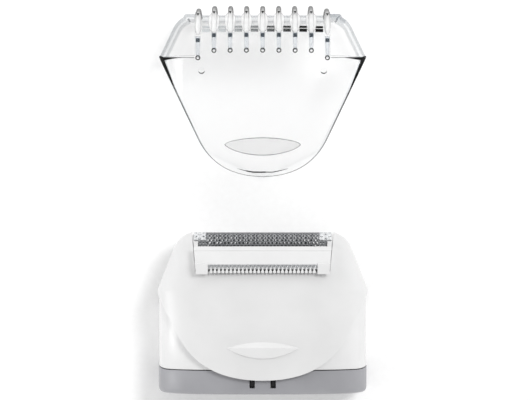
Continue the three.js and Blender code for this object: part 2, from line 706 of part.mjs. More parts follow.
function foilFrame() {
  const span = alongX(frameProfile(legBack - 0.7), -frameHalf, frameHalf);
  const legSide = polygon([
    [frameFoot, AXIS_Z + legBack],
    [frameFoot, AXIS_Z + legFront],
    [frameFoot + 2.4, AXIS_Z + legFront],
    [foilAxisY - 1.4, AXIS_Z + FOIL_RADIUS + 2.9],
    [faceFoot, AXIS_Z + FOIL_RADIUS + 2.6],
    [faceFoot, AXIS_Z + legBack],
  ]);
  const legs = [-1, 1].map((side) => sideAlongX(side, legSide, trimmerHalf, frameHalf));
  const underFoil = foilArch(cutterRadius, foilAxisY - 2);
  const besideFoil = foilArch(FOIL_RADIUS + 0.6, foilAxisY - 2);
  const belowShoulder = block(-FAR, FAR, 0, shoulderFoilY - FINE_GAP, -FAR, FAR);
  const endWalls = [-1, 1].map((side) =>
    join(
      sideAlongX(side, underFoil, wellHalf, frameHalf),
      sideAlongX(side, besideFoil, wellHalf, frameHalf).intersect(belowShoulder),
    ),
  );
  const wellReach = FOIL_RADIUS + FINE_GAP;
  const well = block(-wellHalf, wellHalf, 0, FAR, AXIS_Z - wellReach, AXIS_Z + wellReach);
  const tangWindow = block(
    -TANG_HALF - stroke - GAP,
    TANG_HALF + stroke + GAP,
    tangY - GAP,
    faceFoot + 0.2,
    AXIS_Z,
    AXIS_Z + FOIL_RADIUS + 3,
  );
  const outline = alongZ(frameTrapezoid(0), -FAR, FAR);
  return cut(join(cut(join(span, ...legs), well), ...endWalls), tangWindow).intersect(outline);
}

function foilClip(side) {
  const arch = foilArch(cutterRadius, foilAxisY - 2);
  const saddle = sideAlongX(side, arch, wellHalf - CLIP_WIDTH, wellHalf - FINE_GAP);
  return cut(saddle, alongX(foilArch(cutterRadius - 1, foilAxisY - 3), -FAR, FAR));
}

// The trimmer's two combs lie in a plane that leans out of the frame's face. Drawn flat in X and Y with
// the teeth towards -Y, then turned about X and moved to the foot of the face.
const TRIMMER_LEAN = 0.3; // radians out of the head's front plane
const TRIMMER_STRIP = 0.45; // plain strip that the teeth grow from
const TRIMMER_CUTTER = 0.35; // thickness of the moving comb
const trimmerRoot = { y: faceFoot - 0.55, z: AXIS_Z + legBack + 0.05 };

function comb(half, rootLength, toothLength, toothWidth, thickness) {
  const toothCount = Math.floor((2 * half - toothWidth - 0.1) / TRIMMER_PITCH) + 1;
  const shape = new THREE.Shape();
  shape.moveTo(-half, 0);
  for (let i = 0; i < toothCount; i++) {
    const x = (i - (toothCount - 1) / 2) * TRIMMER_PITCH;
    shape.lineTo(x - toothWidth / 2, 0);
    shape.lineTo(x - toothWidth / 2, 0.2 - toothLength);
    shape.lineTo(x, -toothLength);
    shape.lineTo(x + toothWidth / 2, 0.2 - toothLength);
    shape.lineTo(x + toothWidth / 2, 0);
  }
  shape.lineTo(half, 0);
  shape.lineTo(half, rootLength);
  shape.lineTo(-half, rootLength);
  return alongZ(shape, 0, thickness);
}

function leanOut(manifold, lift) {
  const geometry = geometryOf(manifold).translate(0, 0, lift).rotateX(-TRIMMER_LEAN);
  return solid(geometry.translate(0, trimmerRoot.y, trimmerRoot.z));
}

function trimmerGuard() {
  const half = trimmerHalf - GAP;
  return leanOut(comb(half, TRIMMER_STRIP, TRIMMER_TOOTH_LENGTH, TRIMMER_TOOTH, TRIMMER_PLATE), 0);
}

function trimmerBlade() {
  const half = trimmerHalf - GAP - stroke - 0.1;
  const flat = comb(half, TRIMMER_STRIP, TRIMMER_TOOTH_LENGTH - 0.35, TRIMMER_TOOTH * 0.9, TRIMMER_CUTTER);
  const blade = leanOut(flat, -TRIMMER_CUTTER - FINE_GAP);
  const tangTop = trimmerRoot.z - TRIMMER_CUTTER - FINE_GAP;
  return join(blade, block(-TANG_HALF, TANG_HALF, tangY, tangY + TANG_THICKNESS, AXIS_Z + 1, tangTop));
}

// ---------------------------------------------------------------- cutter

const cutterHalf = wellHalf - CLIP_WIDTH - stroke - FINE_GAP;

function cutterBlock() {
  const lamella = foilArch(cutterRadius, foilAxisY - 1.2);
  const count = Math.floor((2 * cutterHalf - LAMELLA_THICKNESS) / LAMELLA_PITCH) + 1;
  const blades = Array.from({ length: count }, (_, i) => {
    const x = (i - (count - 1) / 2) * LAMELLA_PITCH;
    return alongX(lamella, x - LAMELLA_THICKNESS / 2, x + LAMELLA_THICKNESS / 2, 6);
  });
  const spine = block(-cutterHalf, cutterHalf, foilAxisY - 1.2, foilAxisY + 0.8, AXIS_Z - 1.5, AXIS_Z + 1.5);
  return join(spine, ...blades);
}

function cutterSpring() {
  const length = foilAxisY - 1.2 - carrierTop - 0.2;
  return solid(coil(1.2, 0.3, length, 2.5).translate(0, carrierTop + 0.1, AXIS_Z));
}

function cutterCarrier() {
  const half = cutterHalf - 3;
  const beam = block(-half, half, carrierTop - 1.3, carrierTop, AXIS_Z - 2.2, AXIS_Z + 2.2);
  const spineFoot = foilAxisY - 1.2 - FINE_GAP;
  const posts = [-1, 1].map((side) =>
    sideBlock(side, half - 0.6, half + 0.6, carrierTop - 0.5, spineFoot, AXIS_Z - 1.2, AXIS_Z + 1.2),
  );
  const [near, far] = [pegRadius + 0.1, pegRadius + 1.5];
  const cheeks = [-1, 1].map((side) =>
    sideBlock(side, near, far, pegY - 1.6, carrierTop - 1, AXIS_Z - 1.8, AXIS_Z + 1.8),
  );
  const [low, high] = [tangY - 0.1, tangY + TANG_THICKNESS + 0.1];
  const tangSlot = block(-TANG_HALF - 0.1, TANG_HALF + 0.1, low, high, AXIS_Z + 0.9, FAR);
  return cut(join(beam, ...posts, ...cheeks), tangSlot);
}

// ---------------------------------------------------------------- comb cap, drawn where it sits on the head

const capBottom = tongueBottom;
const combHalf = ((FINGER_COUNT - 1) / 2) * FINGER_PITCH;
const lipY = capRoof - 3.3; // top of the front wall between the fingers
const roofFront = AXIS_Z - 5.2; // the roof stops here, behind the foil

function capLevels(inset) {
  const topHalf = combHalf + 1.5;
  const edge = shoulderEdge(CAP_HALF_WIDTH, capCorner, capRoof, topHalf, 8);
  const points = [[CAP_HALF_WIDTH, capBottom - 3], ...edge.map((p) => [p.x, p.y])];
  return points.map(([half, y]) => {
    const climb = Math.max(0, y - capCorner) / (capRoof - capCorner);
    return {
      y: y - inset * climb,
      half: half - inset,
      back: inset,
      front: capFront - 3.2 * climb * climb - inset,
    };
  });
}

function capSkinZ(x, climb = 0) {
  const front = capFront - 3.2 * climb * climb;
  const share = Math.min(1, Math.abs(x) / CAP_HALF_WIDTH);
  return front / 2 + (front / 2) * (1 - share ** (2 / FRONT_POWER)) ** (FRONT_POWER / 2);
}

// One finger of the comb in side view: from the roof, over the foil, down onto the front wall.
function fingerShape(isEnd, wallZ) {
  const drop = isEnd ? 0.6 : 0;
  const low = isEnd ? 1.7 : 0;
  const crown = capRoof + FINGER_RISE - drop;
  const shape = new THREE.Shape();
  const back = roofFront - 2.5;
  shape.moveTo(capRoof - 1.1, back);
  shape.lineTo(capRoof - 0.05, back);
  shape.quadraticCurveTo(crown, roofFront + 0.5, crown, AXIS_Z + 3);
  shape.quadraticCurveTo(crown - 0.3, wallZ - 1.4, lipY - 0.6, wallZ + 0.35);
  shape.quadraticCurveTo(lipY - 2.4, wallZ + 1.1, lipY - 3.2, wallZ + 0.7);
  shape.lineTo(lipY - 6.8 - low, wallZ + 0.55);
  shape.quadraticCurveTo(lipY - 7.6 - low, wallZ + 0.3, lipY - 7.6 - low, wallZ - 0.6);
  shape.lineTo(lipY - 0.4, wallZ - CAP_WALL * 0.8);
  shape.quadraticCurveTo(crown - 2.2, wallZ - 3.5, crown - 1.7, AXIS_Z + 3);
  shape.quadraticCurveTo(crown - 1.9, roofFront + 1, capRoof - 1.1, back);
  return shape;
}

function combCap() {
  const shell = cut(loft(capLevels(0)), loft(capLevels(CAP_WALL))).intersect(
    alongZ(shieldShape(capShield), -5, FAR),
  );
  const combEdge = combHalf + FINGER_WIDTH / 2;
  const sill = capCorner - 0.3;
  const shoulderWindows = [-1, 1].map((side) => sideBlock(side, combEdge, FAR, sill, FAR, AXIS_Z, FAR));
  const combWindow = block(-combEdge - 0.01, combEdge + 0.01, lipY, FAR, roofFront, FAR);
  const open = cut(shell, ...shoulderWindows, combWindow);
  const fingers = Array.from({ length: FINGER_COUNT }, (_, i) => {
    const x = (i - (FINGER_COUNT - 1) / 2) * FINGER_PITCH;
    const isEnd = i === 0 || i === FINGER_COUNT - 1;
    const profile = fingerShape(isEnd, capSkinZ(x, 0.6));
    return alongX(profile, x - FINGER_WIDTH / 2, x + FINGER_WIDTH / 2, 4);
  });
  const lensShape = gripShape(gripY, GRIP_HALF_LENGTH + 0.3, GRIP_HEIGHT);
  const lens = alongZ(lensShape, capFront - 1, capFront + 0.35, 10);
  const pips = [-1, 1].map((side) => {
    const x = side * (trimmerHalf + LEG_WIDTH / 2);
    return barZ(0.8, capSkinZ(x) - 0.9, capSkinZ(x) + 0.3, x, frameFoot, 12);
  });
  return join(open, ...fingers, lens, ...pips);
}

// ---------------------------------------------------------------- materials and scene

const plastic = (color, roughness) => new THREE.MeshStandardMaterial({ color, roughness, metalness: 0 });
const metal = (color, roughness) => new THREE.MeshStandardMaterial({ color, roughness, metalness: 1 });

const whiteAbs = plastic(0xf2f2f2, 0.3);
const whiteInner = plastic(0xe6e6e3, 0.5);
const greyAbs = plastic(0x96969d, 0.42);
const blackPom = plastic(0x17171a, 0.4);
const naturalPom = plastic(0xe9e6da, 0.45);
const softSeal = plastic(0x3a3c40, 0.8);
const steel = metal(0xc9cbcd, 0.3);
const foilSteel = metal(0x8d8f91, 0.35);
const bronze = metal(0xa8804a, 0.45);
const clearCap = new THREE.MeshStandardMaterial({
  color: 0xf6f9fa,
  roughness: 0.05,
  metalness: 0,
  transparent: true,
  opacity: 0.3,
});

const set = new THREE.Group();
const capGroup = new THREE.Group();

function add(group, name, manifold, material) {
  const mesh = new THREE.Mesh(geometryOf(manifold), material);
  mesh.name = name;
  group.add(mesh);
}

add(set, "base_collar", baseCollar(), greyAbs);
add(set, "body_shell", bodyShell(), whiteAbs);
add(set, "base_plate", basePlate(), whiteInner);
add(set, "bearing_bush", bearingBush(), bronze);
add(set, "rocker_bracket", rockerBracket(), whiteInner);
add(set, "rocker_pivot_pin", pivotPin(), steel);
add(set, "rocker_seal", rockerSeal(), softSeal);
let screwNumber = 1;
for (const side of [-1, 1]) {
  for (const z of screwZs) add(set, `base_screw_${screwNumber++}`, screw(side * screwX, z), steel);
}

add(set, "release_latch", releaseLatch(), blackPom);
add(set, "latch_spring", latchSpring(), steel);

add(set, "drive_coupler", driveCoupler(), naturalPom);
add(set, "eccentric_pin", eccentricPin(), steel);
add(set, "rocker_arm", rockerArm(), naturalPom);

add(set, "hood_front", hoodFront(), whiteAbs);
add(set, "hood_rear", hoodRear(), whiteAbs);
add(set, "hood_bridge", hoodBridge(), whiteInner);
add(set, "float_spring_left", floatSpring(-1), steel);
add(set, "float_spring_right", floatSpring(1), steel);

add(set, "foil_frame", foilFrame(), whiteAbs);
add(set, "shaver_foil", shaverFoil(), foilSteel);
add(set, "foil_clip_left", foilClip(-1), steel);
add(set, "foil_clip_right", foilClip(1), steel);
add(set, "trimmer_guard", trimmerGuard(), steel);

add(set, "trimmer_blade", trimmerBlade(), steel);
add(set, "cutter_block", cutterBlock(), steel);
add(set, "cutter_spring", cutterSpring(), steel);
add(set, "cutter_carrier", cutterCarrier(), naturalPom);

add(capGroup, "comb_cap", combCap(), clearCap);
capGroup.position.y = CAP_TRAVEL;
set.add(capGroup);

// The origin is the middle of the set's underside.
const overallLength = capRoof + FINGER_RISE + CAP_TRAVEL;
set.position.y = -overallLength / 2;

export default set;
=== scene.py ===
"""Looks of an epilator's shaving head and its clear comb cap, both lying on a pale table.

Sizes are in millimetres, measured as on the drawing: x to the head's right, y from the grey collar's
mating face towards the foil, z up from the table. at() turns them into metres in the row's frame.
"""

import json
import math

import bpy
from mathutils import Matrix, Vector

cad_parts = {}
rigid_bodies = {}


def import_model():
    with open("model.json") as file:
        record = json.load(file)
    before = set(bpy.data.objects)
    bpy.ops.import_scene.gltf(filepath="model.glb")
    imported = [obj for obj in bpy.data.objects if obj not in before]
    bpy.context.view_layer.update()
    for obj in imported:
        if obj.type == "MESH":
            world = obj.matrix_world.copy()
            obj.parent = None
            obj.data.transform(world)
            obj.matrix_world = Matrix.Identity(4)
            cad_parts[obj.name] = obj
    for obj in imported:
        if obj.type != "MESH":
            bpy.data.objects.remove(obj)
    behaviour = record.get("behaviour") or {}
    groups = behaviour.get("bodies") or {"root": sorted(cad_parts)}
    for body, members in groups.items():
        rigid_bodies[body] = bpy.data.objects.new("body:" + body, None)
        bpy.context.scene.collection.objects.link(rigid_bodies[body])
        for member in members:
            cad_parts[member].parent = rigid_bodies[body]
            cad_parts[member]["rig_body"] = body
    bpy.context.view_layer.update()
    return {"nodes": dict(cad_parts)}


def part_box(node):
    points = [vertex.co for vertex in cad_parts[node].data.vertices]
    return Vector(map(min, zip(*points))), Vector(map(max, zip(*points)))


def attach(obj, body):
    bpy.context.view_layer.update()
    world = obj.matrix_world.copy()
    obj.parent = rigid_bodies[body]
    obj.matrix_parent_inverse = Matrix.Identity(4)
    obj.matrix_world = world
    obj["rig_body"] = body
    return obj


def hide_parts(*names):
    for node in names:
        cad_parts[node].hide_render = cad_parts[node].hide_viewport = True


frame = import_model()
collar_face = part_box("base_collar")[0].y
AXIS_Z = 13.0  # drive line above the table


def at(x, y, z):
    return Vector((x * 0.001, y * 0.001 + collar_face, z * 0.001))


# ---------------------------------------------------------------- materials


def linear(code):
    """sRGB hex to linear colour."""
    parts = [int(code[i : i + 2], 16) / 255 for i in (1, 3, 5)]
    return [c / 12.92 if c <= 0.04045 else ((c + 0.055) / 1.055) ** 2.4 for c in parts] + [1.0]


def add_node(tree, kind, inputs=None, ramp=None, **settings):
    """Adds a node; an input is a value or another node's output."""
    made = tree.nodes.new(kind)
    for name, value in settings.items():
        setattr(made, name, value)
    for key, value in (inputs or {}).items():
        if isinstance(value, bpy.types.NodeSocket):
            tree.links.new(value, made.inputs[key])
        else:
            made.inputs[key].default_value = value
    if ramp:
        first, last = made.color_ramp.elements[0], made.color_ramp.elements[1]
        (first.position, first.color), (last.position, last.color) = ramp
    return made


def new_material(name):
    material = bpy.data.materials.new(name)
    material.use_nodes = True
    tree = material.node_tree
    tree.nodes.clear()
    output = tree.nodes.new("ShaderNodeOutputMaterial")
    place = tree.nodes.new("ShaderNodeTexCoord").outputs["Object"]
    return material, tree, output, place


CLOUD_MM = 9.0  # size of the faint cloud in moulded plastic
FLOW_MM = 6.0  # size of the waves that the melt leaves in clear walls


def moulded(name, light, dark, roughness, grain_mm=0.35, bump=0.02):
    """Injection-moulded plastic: even colour with a faint cloud, and the tool's fine spark grain."""
    material, tree, output, place = new_material(name)
    cloud = add_node(tree, "ShaderNodeTexNoise", {"Vector": place, "Scale": 1000 / CLOUD_MM, "Detail": 3.0})
    colour = add_node(
        tree,
        "ShaderNodeValToRGB",
        {"Fac": cloud.outputs["Fac"]},
        ramp=[(0.35, linear(dark)), (0.65, linear(light))],
    )
    grain = add_node(tree, "ShaderNodeTexNoise", {"Vector": place, "Scale": 1000 / grain_mm, "Detail": 2.0})
    rough = add_node(
        tree,
        "ShaderNodeMapRange",
        {"Value": cloud.outputs["Fac"], "To Min": roughness * 0.92, "To Max": roughness * 1.08},
    )
    relief = add_node(
        tree,
        "ShaderNodeBump",
        {"Height": grain.outputs["Fac"], "Strength": bump * 10, "Distance": 0.00002},
    )
    shader = add_node(
        tree,
        "ShaderNodeBsdfPrincipled",
        {
            "Base Color": colour.outputs["Color"],
            "Roughness": rough.outputs["Result"],
            "Normal": relief.outputs["Normal"],
            "IOR": 1.5,
            "Specular IOR Level": 0.5,
        },
    )
    tree.links.new(shader.outputs["BSDF"], output.inputs["Surface"])
    return material


def worked_metal(name, light, dark, roughness, line_mm=0.12, stretch=(40.0, 1.0, 1.0)):
    """Metal with the fine parallel lines that grinding, drawing or rolling leaves."""
    material, tree, output, place = new_material(name)
    lines = add_node(tree, "ShaderNodeMapping", {"Vector": place, "Scale": [1 / s for s in stretch]})
    scratch = add_node(
        tree,
        "ShaderNodeTexNoise",
        {"Vector": lines.outputs["Vector"], "Scale": 1000 / line_mm, "Detail": 3.0},
    )
    colour = add_node(
        tree,
        "ShaderNodeValToRGB",
        {"Fac": scratch.outputs["Fac"]},
        ramp=[(0.3, linear(dark)), (0.7, linear(light))],
    )
    rough = add_node(
        tree,
        "ShaderNodeMapRange",
        {"Value": scratch.outputs["Fac"], "To Min": roughness * 0.8, "To Max": roughness * 1.2},
    )
    relief = add_node(
        tree, "ShaderNodeBump", {"Height": scratch.outputs["Fac"], "Strength": 0.1, "Distance": 0.00001}
    )
    shader = add_node(
        tree,
        "ShaderNodeBsdfPrincipled",
        {
            "Base Color": colour.outputs["Color"],
            "Metallic": 1.0,
            "Roughness": rough.outputs["Result"],
            "Normal": relief.outputs["Normal"],
        },
    )
    tree.links.new(shader.outputs["BSDF"], output.inputs["Surface"])
    return material


def clear_styrene(name, face_on, edge_on, start=0.6, haze=0.0, roughness=0.05, shine=0.5):
    """Polished clear moulding: light passes straight through, edge-on walls gather a grey tint.

    The reflection grows with the slant alone, the same from both sides of a wall, up to shine.
    """
    material, tree, output, place = new_material(name)
    flow = add_node(tree, "ShaderNodeTexNoise", {"Vector": place, "Scale": 1000 / FLOW_MM, "Detail": 2.0})
    relief = add_node(
        tree, "ShaderNodeBump", {"Height": flow.outputs["Fac"], "Strength": 0.1, "Distance": 0.0001}
    )
    slant = add_node(tree, "ShaderNodeLayerWeight", {"Blend": 0.5})
    colour = add_node(
        tree,
        "ShaderNodeValToRGB",
        {"Fac": slant.outputs["Facing"]},
        ramp=[(start, linear(face_on)), (0.97, linear(edge_on))],
    )
    through = add_node(tree, "ShaderNodeBsdfTransparent", {"Color": colour.outputs["Color"]})
    milky = add_node(tree, "ShaderNodeBsdfDiffuse", {"Color": colour.outputs["Color"]})
    gloss = add_node(
        tree, "ShaderNodeBsdfGlossy", {"Roughness": roughness, "Normal": relief.outputs["Normal"]}
    )
    bounce = add_node(
        tree,
        "ShaderNodeMapRange",
        {
            "Value": slant.outputs["Facing"],
            "From Min": 0.45,
            "From Max": 1.0,
            "To Min": 0.02,
            "To Max": shine,
        },
        interpolation_type="SMOOTHSTEP",
    )
    body = add_node(
        tree, "ShaderNodeMixShader", {0: haze, 1: through.outputs["BSDF"], 2: milky.outputs["BSDF"]}
    )
    skin_mix = add_node(
        tree,
        "ShaderNodeMixShader",
        {0: bounce.outputs["Result"], 1: body.outputs["Shader"], 2: gloss.outputs["BSDF"]},
    )
    tree.links.new(skin_mix.outputs["Shader"], output.inputs["Surface"])
    return material


# ABS, injection-moulded and polished: bright satin white with soft highlights along the edges.
white_abs = moulded("white_abs_moulded", "#dbdbdb", "#d7d7d7", 0.36)
# The same white ABS from a mirror-polished tool: smoother, and a touch brighter, which is painted highlight.
polished_abs_painted_highlight = moulded("white_abs_polished_painted_highlight", "#dfdfdf", "#dbdbdb", 0.24, bump=0.01)
# The same ABS inside, straight from a plain tool: flatter and a little warmer.
inner_abs = moulded("natural_abs_moulded", "#e9e8e4", "#e0dfda", 0.5, grain_mm=0.5, bump=0.04)
# ABS in a cool mid grey with a fine spark texture that spreads the light.
grey_abs = moulded("grey_abs_moulded", "#9a9a9e", "#939397", 0.42, grain_mm=0.3, bump=0.05)
# Acetal, black: smooth and slightly waxy.
black_acetal = moulded("black_acetal_moulded", "#1d1d20", "#131316", 0.38, grain_mm=0.4)
# Acetal, unpigmented: milky and waxy.
natural_acetal = moulded("natural_acetal_moulded", "#ece8dc", "#e2ddcf", 0.45, grain_mm=0.6)
# Thermoplastic rubber lip: dull and dark.
seal_rubber = moulded("seal_rubber_moulded", "#3a3b3f", "#2f3034", 0.8, grain_mm=0.25, bump=0.12)
# Hardened cutter steel, ground and oiled: dark behind the foil.
cutter_steel = worked_metal("cutter_steel_ground", "#6c6e70", "#505254", 0.45)
# Trimmer blade, ground and then blackened: a dark finish that also serves as painted shade in the gaps
# between the teeth.
black_oxide_and_gap_shade_steel = worked_metal("trimmer_steel_black_oxide_and_gap_shade", "#18191b", "#101113", 0.5)
# Stainless steel, ground along the blades.
ground_steel = worked_metal("stainless_steel_ground", "#d8dadc", "#b9bbbe", 0.3)
# Stainless strip, pressed and barrel-polished: brighter and smoother.
pressed_steel = worked_metal("stainless_steel_pressed", "#f0f1f2", "#d5d7d9", 0.24, line_mm=0.3)
# Nickel foil, electroformed: darker, with a soft sheen.
foil_nickel = worked_metal("nickel_foil_electroformed", "#9fa1a3", "#85878a", 0.38, line_mm=0.2)
# Spring wire, drawn: fine lines along the coil.
spring_wire = worked_metal("spring_steel_drawn", "#b4b6b8", "#8f9194", 0.35, line_mm=0.08, stretch=(1, 1, 8))
# Bronze, sintered and oil-soaked: speckled and dull.
sintered_bronze = worked_metal("bronze_sintered", "#b08a52", "#8b6a3c", 0.55, line_mm=0.2, stretch=(1, 1, 1))
# Styrene, clear and polished: the walls let the table show through.
clear_plastic = clear_styrene("clear_styrene_polished", "#ffffff", "#c2c5c8", start=0.82, shine=0.35)
# Clear styrene in the comb's thin rods, whose round sides turn dark where they are seen edge-on.
clear_comb = clear_styrene("clear_styrene_comb", "#ffffff", "#14181c", start=0.5, haze=0.35, shine=0.25)
# The same styrene, dark: painted dark reflection for thin patches drawn where the polished edges and walls
# show dark reflections.
painted_reflection_styrene = clear_styrene("clear_styrene_dark_reflection_paint", "#2c2f32", "#0c0d0e", roughness=0.15, shine=0.06)
# Cut rims of the clear wall, a light grey line.
clear_rim = clear_styrene("clear_styrene_rim", "#f3f4f5", "#c4c7ca", roughness=0.15)
# The grip lens is left matt in the tool, so it shows pale grey.
clear_frosted = clear_styrene("clear_styrene_matt", "#f8f8f8", "#e2e3e4", haze=0.03, roughness=0.4)
# Ribs under the comb's rods: greyer, because they are seen through twice.
clear_rib = clear_styrene("clear_styrene_rib", "#f2f4f6", "#6d747a", start=0.3, haze=0.25)
# Grey bar across the head of each rib: painted dark reflection drawn on the wall.
rib_head_reflection_styrene = clear_styrene("clear_styrene_rib_head_reflection_paint", "#9aa0a6", "#4a4f55", start=0.3)
# Outline of the lens, a small step in the wall.
clear_step = clear_styrene("clear_styrene_step", "#b4b6b8", "#8d9093", roughness=0.2)


def reflection_gradient_styrene():
    """Painted dark reflection for the wall's edge between the rods: its colour darkens towards the right
    along the object's x.
    """
    material = clear_styrene("clear_styrene_reflection_gradient_paint", "#000000", "#000000", roughness=0.2)
    tree = material.node_tree
    place = next(node for node in tree.nodes if node.type == "TEX_COORD").outputs["Object"]
    # Painted reflection: the see-through colour goes from pale on the left to near black on the right.
    split = add_node(tree, "ShaderNodeSeparateXYZ", {"Vector": place})
    across = add_node(
        tree, "ShaderNodeMapRange", {"Value": split.outputs["X"], "From Min": -0.013, "From Max": 0.0135}
    )
    shade = add_node(
        tree,
        "ShaderNodeValToRGB",
        {"Fac": across.outputs["Result"]},
        ramp=[(0.1, linear("#f1f3f4")), (0.98, linear("#0c0d0e"))],
    )
    through = next(node for node in tree.nodes if node.type == "BSDF_TRANSPARENT")
    tree.links.new(shade.outputs["Color"], through.inputs["Color"])
    return material


reflection_gradient_paint = reflection_gradient_styrene()

CAD_FINISH = {
    "base_collar": grey_abs,
    "body_shell": white_abs,
    "base_plate": inner_abs,
    "rocker_bracket": inner_abs,
    "hood_bridge": inner_abs,
    "bearing_bush": sintered_bronze,
    "rocker_seal": seal_rubber,
    "release_latch": black_acetal,
    "drive_coupler": natural_acetal,
    "rocker_arm": natural_acetal,
    "cutter_carrier": natural_acetal,
    "cutter_block": cutter_steel,
    "trimmer_blade": black_oxide_and_gap_shade_steel,
    "latch_spring": spring_wire,
    "float_spring_left": spring_wire,
    "float_spring_right": spring_wire,
    "cutter_spring": spring_wire,
    "hood_front": white_abs,
    "hood_rear": white_abs,
    "foil_frame": white_abs,
    "shaver_foil": foil_nickel,
    "foil_clip_left": pressed_steel,
    "foil_clip_right": pressed_steel,
    "comb_cap": clear_plastic,
}
for name, cad_node in frame["nodes"].items():
    cad_node.data.materials.clear()
    cad_node.data.materials.append(CAD_FINISH.get(name, ground_steel))


# ---------------------------------------------------------------- modelling by hand, in steps


def only(piece):
    """Makes one piece the only selected and active one."""
    bpy.ops.object.select_all(action="DESELECT")
    piece.select_set(True)
    bpy.context.view_layer.objects.active = piece


def added(name):
    piece = bpy.context.object
    piece.name = name
    piece.data.name = name
    return piece


def modify(piece, kind, **settings):
    only(piece)
    modifier = piece.modifiers.new(kind, kind)
    for key, value in settings.items():
        setattr(modifier, key, value)
    bpy.ops.object.modifier_apply(modifier=modifier.name)


def edit(piece, *steps):
    """Runs edit-mode steps on the whole of a piece."""
    only(piece)
    bpy.ops.object.mode_set(mode="EDIT")
    bpy.ops.mesh.select_all(action="SELECT")
    for step in steps:
        step()
    bpy.ops.object.mode_set(mode="OBJECT")


def weld():
    bpy.ops.mesh.remove_doubles(threshold=0.000002)


def face_out():
    bpy.ops.mesh.select_all(action="SELECT")
    bpy.ops.mesh.normals_make_consistent(inside=False)


def prism(name, outline, low, high):
    """A flat outline of (x, y) points drawn at one height and pulled up to another."""
    bpy.ops.object.select_all(action="DESELECT")
    bpy.ops.mesh.primitive_circle_add(vertices=len(outline), radius=0.01, fill_type="NGON")
    piece = added(name)
    for corner, (x, y) in zip(piece.data.vertices, outline):
        corner.co = at(x, y, low)

    def pull():
        bpy.ops.mesh.extrude_region_move(TRANSFORM_OT_translate={"value": (0, 0, (high - low) * 0.001)})

    edit(piece, pull, face_out)
    return piece


def sheet(name, columns, rows, place):
    """A grid laid onto a surface: place(u, v) gives each corner, u and v from 0 to 1."""
    bpy.ops.object.select_all(action="DESELECT")
    bpy.ops.mesh.primitive_grid_add(x_subdivisions=columns, y_subdivisions=rows, size=2)
    piece = added(name)
    for corner in piece.data.vertices:
        corner.co = place((corner.co.x + 1) / 2, (corner.co.y + 1) / 2)
    edit(piece, weld)
    return piece


def turn_out(piece, middle):
    """Flips an open sheet whose faces look towards middle."""
    outward = sum((f.normal.dot((f.center - middle).normalized()) * f.area for f in piece.data.polygons))
    if outward < 0:
        edit(piece, bpy.ops.mesh.flip_normals)


def box_piece(name, low, high):
    """A block between two corners, given in millimetres."""
    bpy.ops.object.select_all(action="DESELECT")
    middle = [(a + b) / 2 for a, b in zip(low, high)]
    size = [(b - a) * 0.001 for a, b in zip(low, high)]
    bpy.ops.mesh.primitive_cube_add(size=1, location=at(*middle), scale=size)
    piece = added(name)
    settle(piece)
    return piece


def settle(piece):
    """Puts a piece's place, turn and scale into its mesh."""
    only(piece)
    bpy.ops.object.transform_apply(location=True, rotation=True, scale=True)


def carve(piece, *cutters):
    """Cuts other pieces out of a piece and removes them."""
    for cutter in cutters:
        only(piece)
        modifier = piece.modifiers.new("carve", "BOOLEAN")
        modifier.operation = "DIFFERENCE"
        modifier.solver = "MANIFOLD"
        modifier.object = cutter
        bpy.ops.object.modifier_apply(modifier=modifier.name)
        bpy.data.objects.remove(cutter)


def finish(piece, body, *materials, angle=35, stands_for=()):
    """Smooths a piece, gives it its finishes and lets it ride on its body."""
    # Carving can leave an empty material slot in front of the real one.
    if None in list(piece.data.materials):
        piece.data.materials.clear()
    for material in materials:
        if material.name not in piece.data.materials:
            piece.data.materials.append(material)
    only(piece)
    bpy.ops.object.shade_smooth_by_angle(angle=math.radians(angle))
    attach(piece, body)
    for cad_name in stands_for:
        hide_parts(cad_name)
    return piece


def softened(cad_name, name, material, width, segments=2, angle=35):
    """A copy of a plain machined shape with its edges rounded over."""
    source = frame["nodes"][cad_name]
    mesh = source.data.copy()
    piece = bpy.data.objects.new(name, mesh)
    bpy.context.scene.collection.objects.link(piece)
    mesh.materials.clear()
    edit(piece, weld, lambda: bpy.ops.mesh.dissolve_limited(angle_limit=math.radians(1)))
    modify(
        piece,
        "BEVEL",
        width=width * 0.001,
        segments=segments,
        limit_method="ANGLE",
        angle_limit=math.radians(30),
        use_clamp_overlap=True,
    )
    return finish(piece, source["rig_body"], material, angle=angle, stands_for=[cad_name])


# ---------------------------------------------------------------- the housings' shared forms

FRONT_POWER = 2 / 2.8
BACK_POWER = 2 / 12
LEAN = 0.485  # how far a shield's side comes in for each mm down
WING = (25.95, 25.3)  # the hood's widest point
HOOD_TOP = 39.6
TONGUE = 3.6  # lowest point of the hood's tongue
BELLY = WING[1] / 2  # the hood is deepest here
HOOD_BACK = 10.7  # from the drive line back to the hood's back
HOOD_FRONT = 12.7  # and forward to its front
SEAM = AXIS_Z + 0.15  # where the hood's front half ends
CAP_TRAVEL = 49.4
CAP_HALF = 25.6
CAP_ROOF = 44.1
CAP_CORNER = 33.3
CAP_FRONT = 28.3


def section(turn, half, back, front):
    """Point of a housing's cross-section: softly bowed front, square back. Gives x and z."""
    middle, reach = (back + front) / 2, (front - back) / 2
    across, along = math.cos(turn), math.sin(turn)
    if along >= 0:
        x = half * math.copysign(abs(across) ** FRONT_POWER, across)
        return x, middle + reach * along**FRONT_POWER
    x = half * math.copysign(abs(across) ** BACK_POWER, across)
    return x, max(back, middle - 1.01 * reach * abs(along) ** BACK_POWER)


def shield_low(x, half, corner, bottom, turn_height):
    """Lowest y of a shield at x: a round end, then straight sides up to the corner."""
    x = abs(x)
    turn_y = bottom + turn_height
    turn_x = half - (corner - turn_y) * LEAN
    end_x = half - (corner - bottom) * LEAN
    if x >= turn_x:
        return min(corner, turn_y + (x - turn_x) / LEAN)
    a, b = turn_x - 2 * end_x, 2 * end_x
    share = x / b if abs(a) < 1e-9 else (-b + math.sqrt(b * b + 4 * a * x)) / (2 * a)
    return bottom + share * share * turn_height


